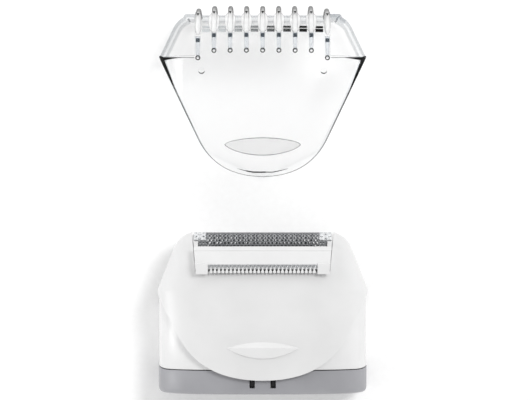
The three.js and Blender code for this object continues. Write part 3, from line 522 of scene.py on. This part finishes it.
def shoulder_half(y, low, top, half, top_half, blend=0.5):
    """Half width above the widest level: a straight shoulder, then a round one."""
    run, rise = half - top_half, top - low
    knee = low + 0.68 * rise
    slope = 0.42 * run / (0.68 * rise)
    if y <= low - blend:
        return half
    if y < low + blend:
        return half - slope * (y - low + blend) ** 2 / (4 * blend)
    if y <= knee:
        return half - slope * (y - low)
    ends = [(half - 0.42 * run, knee), (half - 0.58 * run, low + 0.94 * rise), (top_half, top)]
    a, b, c = (ends[i][1] for i in range(3))
    lowest, highest = 0.0, 1.0
    for _ in range(30):
        s = (lowest + highest) / 2
        height = (1 - s) ** 2 * a + 2 * s * (1 - s) * b + s * s * c
        lowest, highest = (s, highest) if height < y else (lowest, s)
    return (1 - s) ** 2 * ends[0][0] + 2 * s * (1 - s) * ends[1][0] + s * s * ends[2][0]


def ramp_up(value, low, high):
    """0 below low, 1 above high, and a soft rise between."""
    share = min(1.0, max(0.0, (value - low) / (high - low)))
    return share * share * (3 - 2 * share)


def hood_half(y):
    return shoulder_half(y, WING[1], HOOD_TOP, WING[0], 17.0)


def hood_bulge(y):
    climb = max(0.0, y - BELLY) / (HOOD_TOP + 0.25 - BELLY)
    return math.sqrt(max(0.0, 1 - climb * climb))


def hood_depth(y):
    """Height of the hood's back and front at a level."""
    full = hood_bulge(y)
    return AXIS_Z - HOOD_BACK * full, AXIS_Z + HOOD_FRONT * full


def bowed_front(x, half, back, front):
    """Height of a section's front at x."""
    share = min(1.0, abs(x) / half)
    reach = (front - back) / 2 * (1 - share ** (2 / FRONT_POWER)) ** (FRONT_POWER / 2)
    return (back + front) / 2 + reach


def hood_z(x, y):
    """Height of the hood's front at a point seen from the front."""
    return bowed_front(x, hood_half(y), *hood_depth(y))


def meet_edge(half_at, edge_at, top, factor):
    """Level at which the column at this share of the half width leaves a shield's edge."""
    low, high = 0.0, top
    for _ in range(40):
        y = (low + high) / 2
        low, high = (y, high) if edge_at(half_at(y) * factor) > y else (low, y)
    return high


# ---------------------------------------------------------------- hood


def hood_edge(x):
    """The tongue's edge, which drops a little beside the widest points."""
    return shield_low(x, WING[0], WING[1], TONGUE, 11.3) - 0.62 * ramp_up(x, 22.3, 23.7)


def hood_front_place(u, v):
    """The front skin, with a narrow upright strip at each side down to the seam."""
    strip = 0.03
    turn = math.pi * (1 - min(1.0, max(0.0, (u - strip) / (1 - 2 * strip))))
    drop = max(0.0, strip - u, u - 1 + strip) / strip
    factor = abs(math.cos(turn)) ** FRONT_POWER
    start = meet_edge(hood_half, hood_edge, WING[1], factor)
    y = start + (HOOD_TOP - start) * (1 - (1 - v) ** 1.35)
    x, z = section(turn, hood_half(y), *hood_depth(y))
    beside_frame = math.exp(-(((abs(x) - 17.2) / 2.4) ** 2))
    dip = 0.75 * beside_frame * ramp_up(y, 26.0, 33.0)
    z -= dip * min(1.0, max(0.0, (z - 14.0) / 4.0))
    return at(x, y, max(SEAM, z - drop * (z - SEAM)))


def opening_cutter():
    """The tapered opening that the foil frame stands in."""
    sill, top = 29.9, 17.5
    foot = 16.4 + 1.1 * (sill - 29.4) / 10
    outline = [(-foot, sill), (foot, sill), (top, 39.4), (top, 70), (-top, 70), (-top, 39.4)]
    return prism("frame_opening", outline, AXIS_Z - 1, 60)


def rounded_rim(piece, width):
    modify(
        piece,
        "BEVEL",
        width=width * 0.001,
        segments=3,
        limit_method="ANGLE",
        angle_limit=math.radians(50),
        use_clamp_overlap=True,
    )


def make_hood_front():
    piece = sheet("hood_front_skin", 150, 110, hood_front_place)
    turn_out(piece, at(0, 20, AXIS_Z))
    modify(piece, "SOLIDIFY", thickness=0.0014, offset=-1, use_even_offset=True)
    carve(piece, opening_cutter())
    edit(piece, weld)
    rounded_rim(piece, 0.3)
    return finish(piece, "hood", white_abs, stands_for=["hood_front"])


def ridge_place(u, v):
    """Raised crescent for the thumb: a slope up to the crest, then a longer slope that ends in a step."""
    x = -8.75 + 17.5 * u
    share = (x / 8.75) ** 2
    top = 12.95 - 1.45 * share
    crest = 11.55 - 0.12 * share
    bottom = 8.85 + 2.55 * share
    across = (1 - share) ** 0.6
    if v < 0.35:
        y = top + (crest - top) * v / 0.35
        height = v / 0.35
    elif v < 0.85:
        along = (v - 0.35) / 0.5
        y = crest + (bottom + 0.35 * across - crest) * along
        height = 1 - 0.4 * along
    else:
        turn = (v - 0.85) / 0.15 * math.pi / 2
        y = bottom + 0.35 * across * (1 - math.sin(turn))
        height = 0.6 * math.cos(turn)
    return at(x, y, hood_z(x, y) + 1.15 * across * height - 0.02)


def make_thumb_ridge():
    piece = sheet("thumb_ridge", 80, 40, ridge_place)
    turn_out(piece, at(0, 11, AXIS_Z))
    modify(piece, "SOLIDIFY", thickness=0.0012, offset=-1)
    return finish(piece, "hood", polished_abs_painted_highlight, angle=24)


make_hood_front()
make_thumb_ridge()
softened("hood_rear", "hood_rear_skin", white_abs, 0.3)

# ---------------------------------------------------------------- body, collar and base

softened("body_shell", "body_sleeve", polished_abs_painted_highlight, 0.25)
softened("base_collar", "collar_tray", grey_abs, 0.2)
softened("release_latch", "latch_slide", black_acetal, 0.12)
softened("drive_coupler", "coupler_dog", natural_acetal, 0.15)
for number in (1, 2, 3, 4):
    softened(f"base_screw_{number}", f"cross_screw_{number}", ground_steel, 0.12)

# ---------------------------------------------------------------- foil cassette

softened("foil_frame", "foil_frame_moulding", polished_abs_painted_highlight, 0.3, segments=3)
softened("foil_clip_left", "foil_clip_left_pressing", pressed_steel, 0.12)
softened("foil_clip_right", "foil_clip_right_pressing", pressed_steel, 0.12)


def frame_half(y):
    """Half width of the foil frame at a level: it leans in towards its feet, which have round corners."""
    half = 16.15 + 1.1 * (y - 29.4) / 10
    rise = y - 29.45
    if rise < 1.3:
        half -= 1.3 - math.sqrt(max(0.0, 1.3**2 - (1.3 - rise) ** 2))
    return half


def face_z(y):
    """The frame's face: upright feet, a bend, a face that leans back, and a lip under the foil."""
    if y < 30.75:
        return 24.55
    lip = 0.16 * ramp_up(y, 34.95, 35.2)
    return 24.55 - 3.7 * ((y - 30.75) / 6.15) ** 1.25 + lip


def strip_up(name, y0, y1, x0, x1, columns, rows):
    """A patch of the frame's face; x0 and x1 give its sides at a level."""

    def place(u, v):
        y = y0 + (y1 - y0) * v
        return at(x0(y) + (x1(y) - x0(y)) * u, y, face_z(y))

    piece = sheet(name, columns, rows, place)
    turn_out(piece, at(0, 34, 0))
    modify(piece, "SOLIDIFY", thickness=0.0007, offset=-1)
    rounded_rim(piece, 0.22)
    return finish(piece, "cassette", polished_abs_painted_highlight, angle=30)


TRIMMER_HALF = 13.3

strip_up("frame_face", 31.66, 35.98, lambda y: -frame_half(y), frame_half, 40, 36)
for side, label in ((-1, "left"), (1, "right")):
    ends = sorted((side * TRIMMER_HALF, side * 30))
    strip_up(
        f"frame_foot_{label}",
        29.47,
        31.7,
        lambda y, a=ends[0]: max(a, -frame_half(y)),
        lambda y, b=ends[1]: min(b, frame_half(y)),
        8,
        20,
    )

FOIL_R = 4.0
FOIL_AXIS = 35.4
FOIL_SKIRT = 2.0
FOIL_PATH = 2 * FOIL_SKIRT + math.pi * FOIL_R


def on_foil(x, along, lift=0.0):
    """A point of the foil, along its arch from the front edge to the back edge."""
    radius = FOIL_R - 0.02 + lift
    if along <= FOIL_SKIRT:
        return at(x, FOIL_AXIS - FOIL_SKIRT + along, AXIS_Z + radius)
    if along >= FOIL_PATH - FOIL_SKIRT:
        return at(x, FOIL_AXIS - (along - FOIL_PATH + FOIL_SKIRT), AXIS_Z - radius)
    turn = (along - FOIL_SKIRT) / FOIL_R
    return at(x, FOIL_AXIS + radius * math.sin(turn), AXIS_Z + radius * math.cos(turn))


def make_foil():
    """One six-sided mesh is modelled once, repeated into a flat sheet and laid over the arch.

    The flat sheet is drawn in millimetres; on_foil() turns them into metres.
    """
    pitch = 0.9
    row = pitch * math.sqrt(3) / 2
    bpy.ops.object.select_all(action="DESELECT")
    bpy.ops.mesh.primitive_circle_add(vertices=6, radius=pitch / math.sqrt(3), fill_type="NGON")
    piece = added("foil_mesh")
    bar = 0.15

    def open_cell():
        bpy.ops.mesh.inset(thickness=bar)
        bpy.ops.mesh.delete(type="FACE")

    edit(piece, open_cell)
    columns, rows = 37, round(FOIL_PATH / row / 2)
    twin = {"use_relative_offset": False, "use_constant_offset": True}
    modify(piece, "ARRAY", count=2, constant_offset_displace=(pitch / 2, row, 0), **twin)
    modify(piece, "ARRAY", count=columns, constant_offset_displace=(pitch, 0, 0), **twin)
    modify(piece, "ARRAY", count=rows, constant_offset_displace=(0, 2 * row, 0), **twin)
    xs = [c.co.x for c in piece.data.vertices]
    ys = [c.co.y for c in piece.data.vertices]
    middle, low, high = (min(xs) + max(xs)) / 2, min(ys), max(ys)
    for corner in piece.data.vertices:
        along = (corner.co.y - low) / (high - low) * FOIL_PATH
        corner.co = on_foil(corner.co.x - middle, along)
    edit(piece, weld)
    turn_out(piece, at(0, FOIL_AXIS, AXIS_Z))
    modify(piece, "SOLIDIFY", thickness=0.00008, offset=-1)
    finish(piece, "cassette", foil_nickel, stands_for=["shaver_foil"])


def make_foil_end(side, label):
    """Pressed strip that holds the foil's end: it follows the arch and has two rows of small dimples."""

    def place(u, v):
        along = 4.2 + (FOIL_PATH - 8.4) * v
        x = side * (14.05 + 2.95 * u)
        dimple = math.sin(u * 3 * math.pi) * math.sin((along - 4.2) / 0.85 * math.pi)
        return on_foil(x, along, 0.02 + 0.07 * dimple)

    end = sheet(f"foil_end_{label}", 30, 90, place)
    turn_out(end, at(0, FOIL_AXIS, AXIS_Z))
    modify(end, "SOLIDIFY", thickness=0.00018, offset=-1)
    finish(end, "cassette", pressed_steel)


make_foil()
make_foil_end(-1, "left")
make_foil_end(1, "right")

TOOTH_PITCH = 0.965
TEETH = 27


def make_trimmer():
    """Fixed comb of the trimmer: a grooved strip, and one tooth modelled once and repeated."""
    strip = box_piece("trimmer_strip", (-13.15, 31.02, 23.98), (13.15, 31.72, 24.38))
    modify(strip, "BEVEL", width=0.00008, segments=2)
    finish(strip, "cassette", ground_steel, stands_for=["trimmer_guard"])
    for number in range(TEETH + 1):
        x = (number - TEETH / 2) * TOOTH_PITCH
        low, high = (x - 0.26, 30.62, 24.3), (x + 0.26, 31.5, 24.48)
        rib = box_piece(f"trimmer_rib_{number + 1}", low, high)
        modify(rib, "BEVEL", width=0.00006, segments=1)
        finish(rib, "cassette", pressed_steel)
    half_tooth = [(0.2, 31.05), (0.2, 30.36), (0.41, 30.05), (0.3, 29.63)]
    fishtail = half_tooth + [(-x, y) for x, y in reversed(half_tooth)]
    tooth = prism("trimmer_tooth_1", fishtail, 23.98, 24.36)
    modify(tooth, "BEVEL", width=0.00007, segments=2)
    teeth = [tooth]
    for number in range(2, TEETH + 1):
        twin = tooth.copy()
        twin.data = tooth.data.copy()
        twin.name = f"trimmer_tooth_{number}"
        bpy.context.scene.collection.objects.link(twin)
        teeth.append(twin)
    first = -(TEETH - 1) / 2 * TOOTH_PITCH
    for number, one in enumerate(teeth):
        for corner in one.data.vertices:
            corner.co.x += (first + number * TOOTH_PITCH) * 0.001
        finish(one, "cassette", polished_abs_painted_highlight)


make_trimmer()

# ---------------------------------------------------------------- comb cap


def cap_half(y):
    return shoulder_half(y, CAP_CORNER, CAP_ROOF, CAP_HALF, 17.2)


def cap_front(y):
    climb = max(0.0, y - CAP_CORNER) / (CAP_ROOF - CAP_CORNER)
    return CAP_FRONT - 3.2 * climb * climb


def cap_edge(x):
    return shield_low(x, CAP_HALF, CAP_CORNER, TONGUE, 9.3)


def cap_z(x, y):
    """Height of the cap's front at a point seen from the front."""
    return bowed_front(x, cap_half(y), 0.0, cap_front(y))


def on_cap(x, y, z):
    return at(x, y + CAP_TRAVEL, z)


def cap_place(u, v):
    turn = 2 * math.pi * u
    factor = abs(math.cos(turn)) ** (FRONT_POWER if math.sin(turn) >= 0 else BACK_POWER)
    start = meet_edge(cap_half, cap_edge, CAP_CORNER, factor)
    if v < 0.8:
        y = start + (CAP_ROOF - 0.8 - start) * (v / 0.8)
        x, z = section(turn, cap_half(y), 0.0, cap_front(y))
        return on_cap(x, y, z)
    if v < 0.88:
        bend = (v - 0.8) / 0.08 * math.pi / 2
        y = CAP_ROOF - 0.8 + 0.8 * math.sin(bend)
        inset = 0.8 * (1 - math.cos(bend))
        level = CAP_ROOF - 0.8
        x, z = section(turn, cap_half(level) - inset, inset, cap_front(level) - inset)
        return on_cap(x, y, z)
    share = (1 - v) / 0.12
    level = CAP_ROOF - 0.8
    x, z = section(turn, (cap_half(level) - 0.8) * share, 0.0, cap_front(level) - 1.6)
    middle = cap_front(level) / 2
    return on_cap(x, CAP_ROOF, middle + (z + 0.8 - middle) * share)


FINGERS = 9
FINGER_PITCH = 3.93
COMB_HALF = FINGER_PITCH * (FINGERS - 1) / 2
LIP = CAP_ROOF - 3.3
ROOF_FRONT = AXIS_Z - 5.2


def two_finishes(piece, face, rim):
    piece.data.materials.append(face)
    piece.data.materials.append(rim)


def make_cap_shell():
    piece = sheet("cap_shell", 200, 100, cap_place)
    turn_out(piece, on_cap(0, 25, AXIS_Z))
    two_finishes(piece, clear_plastic, clear_rim)
    modify(piece, "SOLIDIFY", thickness=0.0013, offset=-1, use_even_offset=True, material_offset_rim=1)
    edge = COMB_HALF + 0.7
    windows = [
        box_piece("comb_window", (-edge, LIP + CAP_TRAVEL, ROOF_FRONT), (edge, 200, 60)),
        box_piece("left_window", (-60, CAP_CORNER - 0.3 + CAP_TRAVEL, AXIS_Z), (-edge, 200, 60)),
        box_piece("right_window", (edge, CAP_CORNER - 0.3 + CAP_TRAVEL, AXIS_Z), (60, 200, 60)),
    ]
    for window in windows:
        two_finishes(window, clear_plastic, clear_rim)
        for face in window.data.polygons:
            face.material_index = 1
    carve(piece, *windows)
    edit(piece, weld)
    return finish(piece, "comb_cap", clear_plastic, clear_rim, stands_for=["comb_cap"])


def bend_points(start, control, end, count):
    points = []
    for i in range(count):
        s = i / count
        points.append(
            tuple(
                (1 - s) ** 2 * a + 2 * s * (1 - s) * b + s * s * c
                for a, b, c in zip(start, control, end)
            )
        )
    return points


def finger_lines(is_end, wall_z):
    """Outer and inner edge of a finger in side view, as (y, z), from the roof to the front wall."""
    crown = CAP_ROOF + 1.66 - (0.6 if is_end else 0)
    back = ROOF_FRONT - 2.3
    outer = bend_points((CAP_ROOF - 0.06, back), (crown, ROOF_FRONT + 0.5), (crown, AXIS_Z + 3), 12)
    outer += bend_points((crown, AXIS_Z + 3), (crown - 0.3, wall_z - 1.4), (LIP - 0.6, wall_z + 0.35), 14)
    outer += bend_points((LIP - 0.6, wall_z + 0.35), (LIP - 1.5, wall_z + 0.7), (LIP - 2.3, wall_z + 0.6), 4)
    outer.append((LIP - 2.6, wall_z + 0.4))
    inner = bend_points((CAP_ROOF - 1.1, back), (crown - 1.9, ROOF_FRONT + 1), (crown - 1.7, AXIS_Z + 3), 12)
    inner += bend_points(
        (crown - 1.7, AXIS_Z + 3), (crown - 2.2, wall_z - 3.5), (LIP - 0.4, wall_z - 1.0), 14
    )
    inner += bend_points((LIP - 0.4, wall_z - 1.0), (LIP - 1.6, wall_z - 1.0), (LIP - 2.3, wall_z - 0.9), 4)
    inner.append((LIP - 2.6, wall_z - 0.7))
    return outer, inner


def rod(name, x0, outer, inner, half_at, square=0.8):
    """A closed rod of round-cornered section between two edges; half_at(y) gives its half width."""
    count = len(outer) - 1

    def place(u, v):
        step = min(count, int(round(v * count)))
        (y1, z1), (y0, z0) = outer[step], inner[step]
        turn = 2 * math.pi * u
        side = math.copysign(abs(math.cos(turn)) ** square, math.cos(turn))
        out = math.copysign(abs(math.sin(turn)) ** square, math.sin(turn))
        closing = 1.0 if 0 < step < count else 0.55
        y = (y0 + y1) / 2 + (y1 - y0) / 2 * out * closing
        z = (z0 + z1) / 2 + (z1 - z0) / 2 * out * closing
        return on_cap(x0 + half_at(y1) * side * closing, y, z)

    piece = sheet(name, 20, count, place)
    edit(piece, weld, lambda: bpy.ops.mesh.select_all(action="DESELECT"))
    only(piece)
    bpy.ops.object.mode_set(mode="EDIT")
    bpy.ops.mesh.select_mode(type="EDGE")
    bpy.ops.mesh.select_non_manifold()
    bpy.ops.mesh.edge_face_add()
    face_out()
    bpy.ops.mesh.select_mode(type="VERT")
    bpy.ops.object.mode_set(mode="OBJECT")
    return finish(piece, "comb_cap", clear_comb, angle=50)


def make_finger(number):
    """A rod that rises from the roof, bows over the foil and lands on the front wall, with two cheeks."""
    x0 = (number - (FINGERS - 1) / 2) * FINGER_PITCH
    is_end = number in (0, FINGERS - 1)
    wall_z = cap_z(x0, LIP - 0.5)
    outer, inner = finger_lines(is_end, wall_z)
    rod(f"comb_finger_{number + 1}", x0, outer, inner, lambda y: 0.62)
    if is_end:
        cheek_width = 0.85
    else:
        cheek_width = 1.32
    low, high = 15, len(outer) - 1

    def cheek_half(y):
        return 0.5 + (cheek_width - 0.5) * ramp_up(y, 38.2, 40.6) * (1 - ramp_up(y, 42.6, 43.9))

    cheek_outer = [(y - 0.12, z - 0.35) for y, z in outer[low:high]]
    cheek_inner = [(y - 0.45, z - 0.95) for y, z in outer[low:high]]
    rod(f"comb_cheek_{number + 1}", x0, cheek_outer, cheek_inner, cheek_half, square=0.45)
    # A small dark triangle under each fingertip: painted dark reflection, drawn as a thin prism on the rod.
    dot_y = 43.55 - (0.45 if is_end else 0)
    dot_z = max(z for y, z in outer if abs(y - dot_y) < 0.6)
    mark_y = dot_y + CAP_TRAVEL
    triangle = [(x0 - 0.33, mark_y + 0.3), (x0, mark_y - 0.35), (x0 + 0.33, mark_y + 0.3)]
    mark = prism(f"comb_tip_reflection_paint_{number + 1}", triangle, dot_z - 0.3, dot_z + 0.12)
    finish(mark, "comb_cap", painted_reflection_styrene)
    # Its tail: a narrow rib down the front wall that ends in a round stud.
    drop = 1.7 if is_end else 0.0
    low = LIP - 6.5 - drop
    tail = box_piece(
        f"comb_tail_{number + 1}",
        (x0 - 0.62, low + CAP_TRAVEL, wall_z - 0.5),
        (x0 + 0.62, LIP - 2.2 - drop * 0.5 + CAP_TRAVEL, wall_z + 0.35),
    )
    for corner in tail.data.vertices:
        if (corner.co.y - collar_face) * 1000 - CAP_TRAVEL < low + 0.1:
            corner.co.x = (x0 + (corner.co.x * 1000 - x0) * 0.7) * 0.001
    modify(tail, "BEVEL", width=0.00014, segments=3)
    finish(tail, "comb_cap", clear_rib)
    # A thin grey plate across the head of the tail: painted dark reflection.
    bar_top = LIP - 2.45 - drop * 0.65
    bar = box_piece(
        f"comb_rib_head_reflection_{number + 1}",
        (x0 - 0.48, bar_top - 0.95 + CAP_TRAVEL, wall_z + 0.3),
        (x0 + 0.48, bar_top + CAP_TRAVEL, wall_z + 0.5),
    )
    modify(bar, "BEVEL", width=0.00009, segments=2)
    finish(bar, "comb_cap", rib_head_reflection_styrene)
    bpy.ops.object.select_all(action="DESELECT")
    bpy.ops.mesh.primitive_torus_add(
        major_segments=28,
        minor_segments=10,
        major_radius=0.00048,
        minor_radius=0.00013,
        location=on_cap(x0, low - 0.1, wall_z + 0.38),
    )
    stud = added(f"comb_stud_{number + 1}")
    settle(stud)
    # The stud wears the dark styrene: its dark colour is painted reflection.
    finish(stud, "comb_cap", painted_reflection_styrene)


def patch_on_cap(name, material, columns, rows, outline, lift, thickness):
    """A thin raised patch on the cap's front wall; outline(u, v) gives x and y."""

    def place(u, v):
        x, y = outline(u, v)
        return on_cap(x, y, cap_z(x, y) + lift)

    piece = sheet(name, columns, rows, place)
    turn_out(piece, on_cap(0, 20, 0))
    modify(piece, "SOLIDIFY", thickness=thickness, offset=-1)
    return finish(piece, "comb_cap", material, angle=50)


LENS_HALF = 9.05


def lens_edges(x):
    """Lower and upper edge of the lens at x."""
    share = min(1.0, (x / LENS_HALF) ** 2)
    top = 12.95 - 1.1 * share
    bottom = 8.85 + 2.0 * share
    middle = 11.35
    pinch = (1 - share**6) ** 0.5
    return middle + (bottom - middle) * pinch, middle + (top - middle) * pinch


def lens_outline(u, v):
    x = -LENS_HALF * math.cos(math.pi * u)
    low, high = lens_edges(x)
    return x, low + (high - low) * v


def lens_ring_outline(u, v):
    """A narrow band all round the lens."""
    turn = 2 * math.pi * u
    x = LENS_HALF * math.cos(turn)
    low, high = lens_edges(x)
    y = high if math.sin(turn) > 0 else low
    middle = (low + high) / 2
    if abs(math.sin(turn)) < 1e-6:
        y = middle
    grow = 0.16 * (v - 0.2)
    lean = math.hypot(x / LENS_HALF, (y - middle) / 2.0) or 1.0
    return x + grow * x / LENS_HALF / lean, y + grow * (y - middle) / 2.0 / lean


def grip_reflection_outline(u, v):
    """A shallow smile-shaped dark strip near the cap's open edge, painted dark reflection, thicker on its
    left half.
    """
    x = -6.1 + 12.2 * u
    share = abs(x) / 6.1
    y = 4.72 + 1.5 * max(0.0, share - 0.35) ** 1.3
    width = 0.32 if -4 < x < 0.8 else 0.2
    return x, y + width * (v - 0.5) * (1 - share**3 * 0.7)


def shield_edge(side, share):
    """Point on the cap's side edge: share 0 at the corner, 1 at the lowest point."""
    turn_y = TONGUE + 9.3
    turn_x = CAP_HALF - (CAP_CORNER - turn_y) * LEAN
    end_x = CAP_HALF - (CAP_CORNER - TONGUE) * LEAN
    if share < 0.6:
        s = share / 0.6
        return side * (CAP_HALF + (turn_x - CAP_HALF) * s), CAP_CORNER + (turn_y - CAP_CORNER) * s
    s = (share - 0.6) / 0.4
    x = (1 - s) ** 2 * turn_x + 2 * s * (1 - s) * end_x
    y = (1 - s) ** 2 * turn_y + 2 * s * (1 - s) * TONGUE + s * s * TONGUE
    return side * x, y


# Dark strip just inside the cap's side edge: painted dark reflection, widest near the corner.
def side_reflection_outline(side):
    def outline(u, v):
        x, y = shield_edge(side, u)
        x2, y2 = shield_edge(side, min(1.0, u + 0.01))
        x1, y1 = shield_edge(side, max(0.0, u - 0.01))
        run = math.hypot(x2 - x1, y2 - y1)
        inward = (side * (y2 - y1) / run, -side * (x2 - x1) / run)
        width = 0.1 + 0.16 * max(0.0, 1 - u / 0.62) + 0.62 * max(0.0, 1 - u / 0.24) ** 0.8
        width *= min(1.0, 0.3 + u / 0.03)
        offset = 0.03 + width * v
        return x + inward[0] * offset, max(y + inward[1] * offset, TONGUE + 0.02)

    return outline


# Dark strip under the cap's shoulder: painted dark reflection, widest at the corner and thinning inwards.
def corner_reflection_outline(side):
    def outline(u, v):
        x = 25.1 - (25.1 - 16.6) * u
        top = CAP_CORNER - 0.32 - 0.5 * u**0.7
        width = (0.1 + 0.85 * max(0.0, 1 - u / 0.62) ** 1.1) * min(1.0, 0.3 + u / 0.06)
        return side * x, top - width * v

    return outline


def arc_outline(middle_x, middle_y, radius, width):
    """The lower arc of a small ring, thickest at the bottom."""

    def outline(u, v):
        turn = math.radians(200 + 145 * u)
        thick = width * math.sin(math.pi * u) ** 0.7 + 0.03
        reach = radius - thick * v
        return middle_x + reach * math.cos(turn), middle_y + reach * math.sin(turn)

    return outline


def make_cap():
    make_cap_shell()
    for number in range(FINGERS):
        make_finger(number)
    patch_on_cap("cap_grip_lens", clear_frosted, 60, 14, lens_outline, 0.3, 0.0004)
    patch_on_cap("cap_grip_ring", clear_step, 160, 2, lens_ring_outline, 0.33, 0.0002)
    patch_on_cap("cap_grip_reflection_paint", painted_reflection_styrene, 60, 4, grip_reflection_outline, 0.1, 0.0003)
    for side, label in ((-1, "left"), (1, "right")):
        patch_on_cap(f"cap_side_reflection_paint_{label}", painted_reflection_styrene, 160, 3, side_reflection_outline(side), 0.03, 0.0002)
        patch_on_cap(f"cap_corner_reflection_paint_{label}", painted_reflection_styrene, 60, 3, corner_reflection_outline(side), 0.03, 0.0002)
        x, y = side * 14.8, 29.3
        bpy.ops.object.select_all(action="DESELECT")
        bpy.ops.mesh.primitive_uv_sphere_add(
            segments=24, ring_count=12, radius=0.0007, location=on_cap(x, y, cap_z(x, y) - 0.25)
        )
        pip = added(f"cap_pip_{label}")
        settle(pip)
        finish(pip, "comb_cap", clear_plastic)
        # A dark crescent under the pip: painted shadow of the pip.
        patch_on_cap(f"cap_pip_shadow_paint_{label}", painted_reflection_styrene, 24, 2, arc_outline(x, y, 0.8, 0.2), 0.1, 0.0002)
    # Two thin patches in each gap between the rods, painted dark reflection that darkens towards the right.
    for gap in range(FINGERS - 1):
        left = (gap - (FINGERS - 1) / 2) * FINGER_PITCH + 1.05
        for low, high, row in ((38.75, 39.45, "low"), (39.72, 40.15, "high")):

            def bar_outline(u, v, left=left, low=low, high=high):
                return left + (FINGER_PITCH - 2.1) * u, low + (high - low) * v

            patch_on_cap(f"comb_lip_{gap + 1}_{row}", reflection_gradient_paint, 8, 2, bar_outline, 0.03, 0.0003)


make_cap()

# ---------------------------------------------------------------- table, light and camera


def make_table():
    """A matt white card table."""
    bpy.ops.object.select_all(action="DESELECT")
    bpy.ops.mesh.primitive_grid_add(x_subdivisions=4, y_subdivisions=4, size=3, location=(0, 0, 0))
    table = added("table")
    material, tree, output, place = new_material("card_white_matt")
    fibre = add_node(tree, "ShaderNodeTexNoise", {"Vector": place, "Scale": 1000 / 1.5, "Detail": 4.0})
    colour = add_node(
        tree,
        "ShaderNodeValToRGB",
        {"Fac": fibre.outputs["Fac"]},
        ramp=[(0.3, linear("#fbfbfb")), (0.7, linear("#fefefe"))],
    )
    shader = add_node(
        tree,
        "ShaderNodeBsdfPrincipled",
        {"Base Color": colour.outputs["Color"], "Roughness": 0.9, "Specular IOR Level": 0.1},
    )
    tree.links.new(shader.outputs["BSDF"], output.inputs["Surface"])
    table.data.materials.append(material)


def area_light(name, place, target, size, power, shows=True):
    data = bpy.data.lights.new(name, "AREA")
    data.shape = "DISK"
    data.size = size
    data.energy = power
    lamp = bpy.data.objects.new(name, data)
    bpy.context.scene.collection.objects.link(lamp)
    lamp.location = place
    lamp.rotation_euler = (Vector(target) - Vector(place)).to_track_quat("-Z", "Y").to_euler()
    lamp.visible_glossy = shows


make_table()
area_light("key", (0.3, 0.24, 0.8), (0, 0, 0.01), 0.26, 2.9, shows=False)
area_light("left_strip", (-0.7, 0.0, 0.25), (0, 0, 0.01), 0.3, 1.2)

# A bright studio tent whose walls are lighter than its roof.
world = bpy.data.worlds.new("studio")
bpy.context.scene.world = world
world.use_nodes = True
sky = world.node_tree
direction = add_node(sky, "ShaderNodeTexCoord").outputs["Generated"]
height = add_node(sky, "ShaderNodeSeparateXYZ", {"Vector": direction})
level = add_node(
    sky,
    "ShaderNodeMapRange",
    {"Value": height.outputs["Z"], "From Min": 0.0, "From Max": 1.0, "To Min": 1.45, "To Max": 0.42},
)
sky.nodes["Background"].inputs["Color"].default_value = (1, 1, 1, 1)
sky.links.new(level.outputs["Result"], sky.nodes["Background"].inputs["Strength"])
bpy.context.scene.view_settings.view_transform = "Standard"
# The clear cap puts many walls behind each other.
bpy.context.scene.cycles.transparent_max_bounces = 40

camera_data = bpy.data.cameras.new("camera")
camera_data.lens = 161
camera_data.sensor_width = 36
camera_data.clip_start = 0.05
camera = bpy.data.objects.new("camera", camera_data)
bpy.context.scene.collection.objects.link(camera)
camera.location = at(0.57, 47.4, 600)
camera.rotation_euler = (0, 0, 0)
bpy.context.scene.camera = camera
